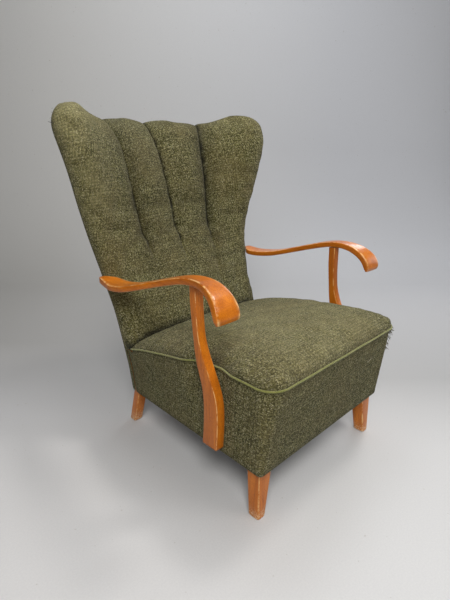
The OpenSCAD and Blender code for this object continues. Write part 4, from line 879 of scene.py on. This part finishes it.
def make_arm_posts(wood):
    """Both arm posts: a swept, tapered bar from beside the rail to the underside of the arm."""
    foot_z, share = 163, shares(80)
    y0 = POST_Y + POST_DEEP * curve(POST_FRONT, share)
    y1 = POST_Y + POST_DEEP * curve(POST_REAR, share)
    flat, corner = rounded_bar(279, 305, y0, y1, 2.6)
    level = (foot_z + share * (float(arm_under(POST_Y + POST_DEEP)) - foot_z))[:, None]
    top = arm_under(flat[..., 1]) - .3
    rings = raised(flat, np.minimum(mix(level, top, ease((share[:, None] - .86) / .14)), top))
    shape = closed_ends(rings, .8)
    # The top closes flat under the arm
    middle = rings[-1].mean(0)
    shape[-3:] = middle + (rings[-1] - middle) * np.array([.9, .5, 0])[:, None, None]
    wooden_pair("arm_post", shape, wood, corner)


def make_legs(wood):
    """Front legs: straight bars that taper and splay below the seat to a smaller foot with a rounded
    sole."""
    taper_z, outer_x = 119, 267.7
    z = joined(SOLE_ROWS, np.linspace(6, taper_z, 38), np.linspace(122, 247, 12))
    share = clamp(z / taper_z)
    wide, deep, r = mix(28, 44, share), mix(36, 40, share), mix(7.0, 3.0, share)
    sole = 2.6 * (1 - round_edge(z, 5))
    out = mix(FOOT_SPLAY, 0, share)
    outer = outer_x + out
    flat, corner = rounded_bar(outer - wide + sole, outer - sole, sole - out, deep - out - sole, r)
    z = z[:, None]
    scuffed = np.maximum(np.exp(-(z / 20) ** 2), .55 * corner**2 * np.exp(-z / 60))
    wooden_pair("front_leg", closed_ends(raised(flat, z), .3), wood, corner, scuffed)


def make_back_posts(wood):
    """Back posts: a foot kicked to the rear, and an upright that follows the lean of the back."""
    post_w, foot_y = 32, 570
    z = joined(SOLE_ROWS, np.linspace(6, HEM_Z, 38), np.linspace(147, 940, 90))
    kick = ease((z - 248) / 42)
    up = ease((z - BASE_Z) / 125)
    high = np.maximum(z, HEM_Z)
    outer = back_half(high) - 12 * (1 + up)
    inner = outer - post_w
    near = middle_depth(inner, high) + mix(.9, 8.4, kick)
    deep = mix(mix(29, 23, kick), 21, up)
    low = clamp(1 - z / HEM_Z)
    sole = 3.0 * (1 - round_edge(z, 5))
    front = mix(near, foot_y, low)
    flat, corner = rounded_bar(inner + low + sole, outer - low - sole, front + sole,
                               front + deep - sole, 3.2)
    z = z[:, None]
    wooden_pair("back_post", closed_ends(raised(flat, z), .3), wood, corner, np.exp(-(z / 30) ** 2))


# ---------------------------------------------------------------- threads
def thread_bundle(name, material, roots, ways, lengths, radius, droop, seed):
    """Short frayed threads: thin tubes that leave their roots in the given ways and bend as they go."""
    rng = np.random.default_rng(seed)
    n, steps, sides = len(roots), 9, 5
    s = shares(steps)[None, :, None]
    bend = unit(rng.normal(size=(n, 3)))[:, None] * .35 + np.array([0, 0, -droop])
    path = roots[:, None] + lengths[:, None, None] * (ways[:, None] * s + bend * s**2)
    heading = unit(np.gradient(path, axis=1))
    aside = unit(np.cross(heading, np.array([.3, .2, .9])))
    above = np.cross(aside, heading)
    a = (math.tau * np.arange(sides) / sides)[:, None]
    r = (radius * np.sqrt(clamp(1 - s**6)) * np.sqrt(clamp(s * 8)))[..., None]
    rings = path[:, :, None] + r * (np.cos(a) * aside[:, :, None] + np.sin(a) * above[:, :, None])
    at = np.arange(n * steps * sides).reshape(n, steps, sides)
    quads = np.stack([at[:, :-1], at[:, 1:], np.roll(at[:, 1:], -1, 2), np.roll(at[:, :-1], -1, 2)], -1)
    piece = new_piece(name, rings.reshape(-1, 3), quads.reshape(-1, 4))
    weld(piece.data, .002)
    finished(piece, material, "tweed")


def make_threads(pale, green, dark, olive, grooves, near_edge):
    """Sewing thread in the grooves, and frayed threads at the worn corner, the front and the near ear."""
    for line, word, material in zip(grooves, ("left", "middle", "right"), (dark, dark, green)):
        line = line[(line[:, 2] > 588) & (line[:, 2] < 965)] + [0, -.4, 0]
        finished(tube("groove_thread_" + word, line, .7, sides=6), material, "piping")
    rng = np.random.default_rng(12)
    # The far front corner is worn through: threads stand out of the border's edge below the piping
    count = 44
    drop = rng.uniform(0, 1, count) ** 1.5
    z = 378 - 72 * drop
    edge = outline(rng.uniform(1.1, 1.5, count), seam_share(z), -1.0)
    ways = unit(rng.normal(scale=.5, size=(count, 3)) + [.45, -.6, -.45])
    lengths = rng.uniform(3, 14, count) * (1 - .4 * drop)
    thread_bundle("frayed_corner_threads", olive, joined(edge, z[:, None], axis=-1), ways,
                  lengths, .72, .5, 13)
    # Tufts: at the near corner under the piping, and pale ends drawn out of the front
    count, z = 7, 343.0
    near = outline(np.full(count, 1.45), seam_share(z), -.6) * [-1, 1]
    near = joined(near, np.full((count, 1), z), axis=1)
    near = near + rng.normal(scale=2.5, size=(count, 3)) * [1, .1, 1]
    front = np.array([(156, 0, 300), (152, 0, 303), (149, 0, 306), (-120, 0, 318), (-60, 0, 240)], float)
    front[:, 1] = front_y(seam_share(front[:, 2])) - .6
    ways = [rng.normal(size=(count, 3)) + [-.3, -.8, 0],
            [[.6, -.25, .8], [-.5, -.4, -.5], [.3, -.5, -.6], [.5, -.6, .2], [-.6, -.6, .3]]]
    lengths = joined(rng.uniform(3, 7, count), [14, 5, 4, 4, 3])
    thread_bundle("front_tufts", pale, joined(near, front), unit(np.concatenate(ways)),
                  lengths, .5, .1, 14)
    # Fuzz along the outline of the near ear, with one loose end of two threads
    count = 40
    line = near_edge[near_edge[:, 2] > 560]
    at = rng.integers(0, len(line), count)
    roots = line[at] + rng.normal(scale=3, size=(count, 3)) * [.1, 1, 1]
    ways = unit(rng.normal(scale=.6, size=(count, 3)) + [-.8, .3, 0])
    thread_bundle("near_ear_fuzz", olive, roots, ways, rng.uniform(1.5, 5, count), .3, .1, 15)
    loose = line[[np.abs(line[:, 2] - 938).argmin()]] + [0, 2, 0]
    ways = unit(np.array([[-.9, -.3, .1], [-.8, -.5, .35]]))
    thread_bundle("near_ear_loose_end", dark, np.repeat(loose, 2, 0), ways,
                  np.array([11.0, 7.0]), .7, .1, 16)


# ---------------------------------------------------------------- studio
VIEW_TURN = math.radians(-44.21)


def make_camera():
    """Camera at the photograph's place, 19 degrees down and 44 degrees round from the chair's axis."""
    data = bpy.data.cameras.new("camera")
    data.sensor_fit = "VERTICAL"
    data.sensor_height = 36
    data.lens = 25.8
    camera = bpy.data.objects.new("camera", data)
    camera.location = (-.911, -.543 - MIDDLE_Y / 1000, .870)
    camera.rotation_euler = (math.radians(71.0), 0, VIEW_TURN)
    bpy.context.collection.objects.link(camera)
    bpy.context.scene.camera = camera


def make_backdrop():
    """Pale floor that curves up into a pale backdrop behind the chair, as seen from the camera."""
    reach, bend, high = 1500, 900, 4200
    a = QUARTER * shares(60)[1:]
    run = joined([-5200], np.linspace(-4000, reach, 14), reach + bend * np.sin(a), [reach + bend] * 4)
    height = joined(np.zeros(15), bend * (1 - np.cos(a)), np.linspace(bend + 400, high, 4))
    rr, ww = np.meshgrid(run, np.linspace(-6000, 6000, 12), indexing="ij")
    sine, cosine = math.sin(VIEW_TURN), math.cos(VIEW_TURN)
    points = np.stack([-rr * sine + ww * cosine, rr * cosine + ww * sine + MIDDLE_Y,
                       np.broadcast_to(height[:, None], rr.shape)], -1)
    studio = surface("studio_backdrop", points, welded=False)
    f = Finish("backdrop_paper")
    places = f.places()
    grain = f.noise(places, 240.0, 3.0)
    specks = f.fit(f.noise(places, 80.0, 1.0, .3), .775, .80, 0.0, .4)
    paper = f.blend(f.fit(grain, .3, .7), (.62, .62, .625, 1), (.66, .66, .66, 1))
    # Painted shade: the paper darkens where it curves up, more towards its left, and brightens again up the
    # wall
    on = f.fit(f.vector("DOT_PRODUCT", places, (-sine, cosine, 1)), -1.0, 4.0)
    aside = f.vector("DOT_PRODUCT", places, (cosine, sine, 0))
    left = f.ramp(on, (.08, (.93, .92, .92)), (.20, (.84, .83, .83)), (.32, (.57, .56, .54)),
                  (.56, (.69, .68, .65)), (.86, (.96, .95, .92)))
    right = f.ramp(on, (.08, (.92, .92, .92)), (.16, (.86, .86, .86)), (.25, (.60, .60, .60)),
                   (.38, (.70, .70, .71)), (.62, (.86, .87, .90)), (.80, (.82, .83, .86)))
    painted_shading = f.blend(1.0, paper, f.blend(f.fit(aside, -1.3, .9), left, right), "MULTIPLY")
    studio.data.materials.append(f.done(f.blend(specks, painted_shading, (.35, .32, .28, 1)), .75, grain, .0004, .2,
                                        Specular_IOR_Level=.2))


def make_lights():
    """Faint even light of the room, and lamps that each face their aim."""
    world = bpy.data.worlds.new("room")
    bpy.context.scene.world = world
    world.use_nodes = True
    room = world.node_tree.nodes["Background"]
    room.inputs[0].default_value = (.93, .96, 1.0, 1)
    room.inputs[1].default_value = .02
    # Name, place, aim, size, power, spread in degrees and colour of each lamp
    lights = [("high_window_light", (-1.7, -1.9, 2.9), (0, 0, .4), 1.2, 65, 180, (1, .988, .965)),
              ("window_light", (-2.0, -1.9, 2.15), (0, 0, .4), 1.2, 27, 180, (1, .99, .97)),
              ("ceiling_light", (.1, -1.3, 3.1), (0, -.1, .2), 1.8, 17, 180, (1, .985, .96)),
              ("lamp_light", (.9, -.5, 2.7), (-.2, 0, .5), .45, 8, 120, (1, .96, .92)),
              ("front_light", (1.0, -2.3, 2.4), (0, 0, .4), 1.2, 10, 180, (1, .99, .97)),
              ("right_light", (2.6, -.9, .9), (.2, 0, .1), 1.2, 9, 180, (.97, .98, 1)),
              ("rear_light", (2.6, .6, 1.9), (.2, 0, 0), 1.2, 6, 90, (.96, .98, 1)),
              ("wall_light", (.4, .5, 2.9), (1.7, 1.75, .7), 1.4, 23, 180, (.94, .96, 1))]
    for name, place, aim, size, power, spread, colour in lights:
        data = bpy.data.lights.new(name, "AREA")
        data.energy, data.color, data.shape, data.size = power, colour, "DISK", size
        data.spread = math.radians(spread)
        light = bpy.data.objects.new(name, data)
        light.location = place
        x, y, z = np.array(aim) - np.array(place)
        light.rotation_euler = (QUARTER - math.atan2(-z, math.hypot(x, y)), 0, math.atan2(y, x) - QUARTER)
        bpy.context.collection.objects.link(light)


# ---------------------------------------------------------------- the chair
make_camera()
make_backdrop()
make_lights()
bpy.context.scene.view_settings.view_transform = "Standard"

tweed = tweed_finish()
lining = woven_finish("dust_cloth_weave", (.03, .03, .028), (.09, .088, .08), .0011)
wood_y = show_wood_finish("stained_beech_arms", 1)
wood_z = show_wood_finish("stained_beech_uprights", 2)
piping = piping_finish()
finishes = {
    "frame_wood": plain_wood_finish(),
    "steel": metal_finish("bright_steel", (.62, .62, .60), .35),
    "spring_steel": metal_finish("oiled_spring_steel", (.30, .27, .25), .45),
    "webbing": woven_finish("jute_webbing", (.24, .17, .09), (.50, .38, .23), .0024),
    "cord": woven_finish("lashing_cord", (.33, .24, .13), (.60, .47, .30), .0015),
    "canvas": woven_finish("hessian", (.36, .28, .17), (.62, .51, .35), .0018),
    "stuffing": woven_finish("fibre_stuffing", (.33, .27, .18), (.58, .50, .38), .0031),
    "show_wood": wood_z, "tweed": tweed, "piping": piping, "lining": lining}

grooves, near_edge = make_back(tweed)
make_outside_back(tweed)
make_seat(tweed)
make_piping(piping)
make_border(tweed)
make_bottom_cloth(lining)
make_arms(wood_y)
make_arm_posts(wood_z)
make_legs(wood_z)
make_back_posts(wood_z)
make_threads(thread_finish("pale_wool_thread", (.30, .27, .17), (.60, .56, .40)),
             thread_finish("green_sewing_thread", (.12, .15, .04), (.30, .34, .12)),
             thread_finish("dark_sewing_thread", (.012, .012, .008), (.04, .04, .02)),
             thread_finish("frayed_wool_thread", (.030, .029, .010), (.10, .095, .035)),
             grooves, near_edge)

slots = {row["node"]: row["material_slot"] for row in frame["record"]["subparts"]}
for name, node in frame["nodes"].items():
    node.data.materials.clear()
    node.data.materials.append(finishes[slots[name]])
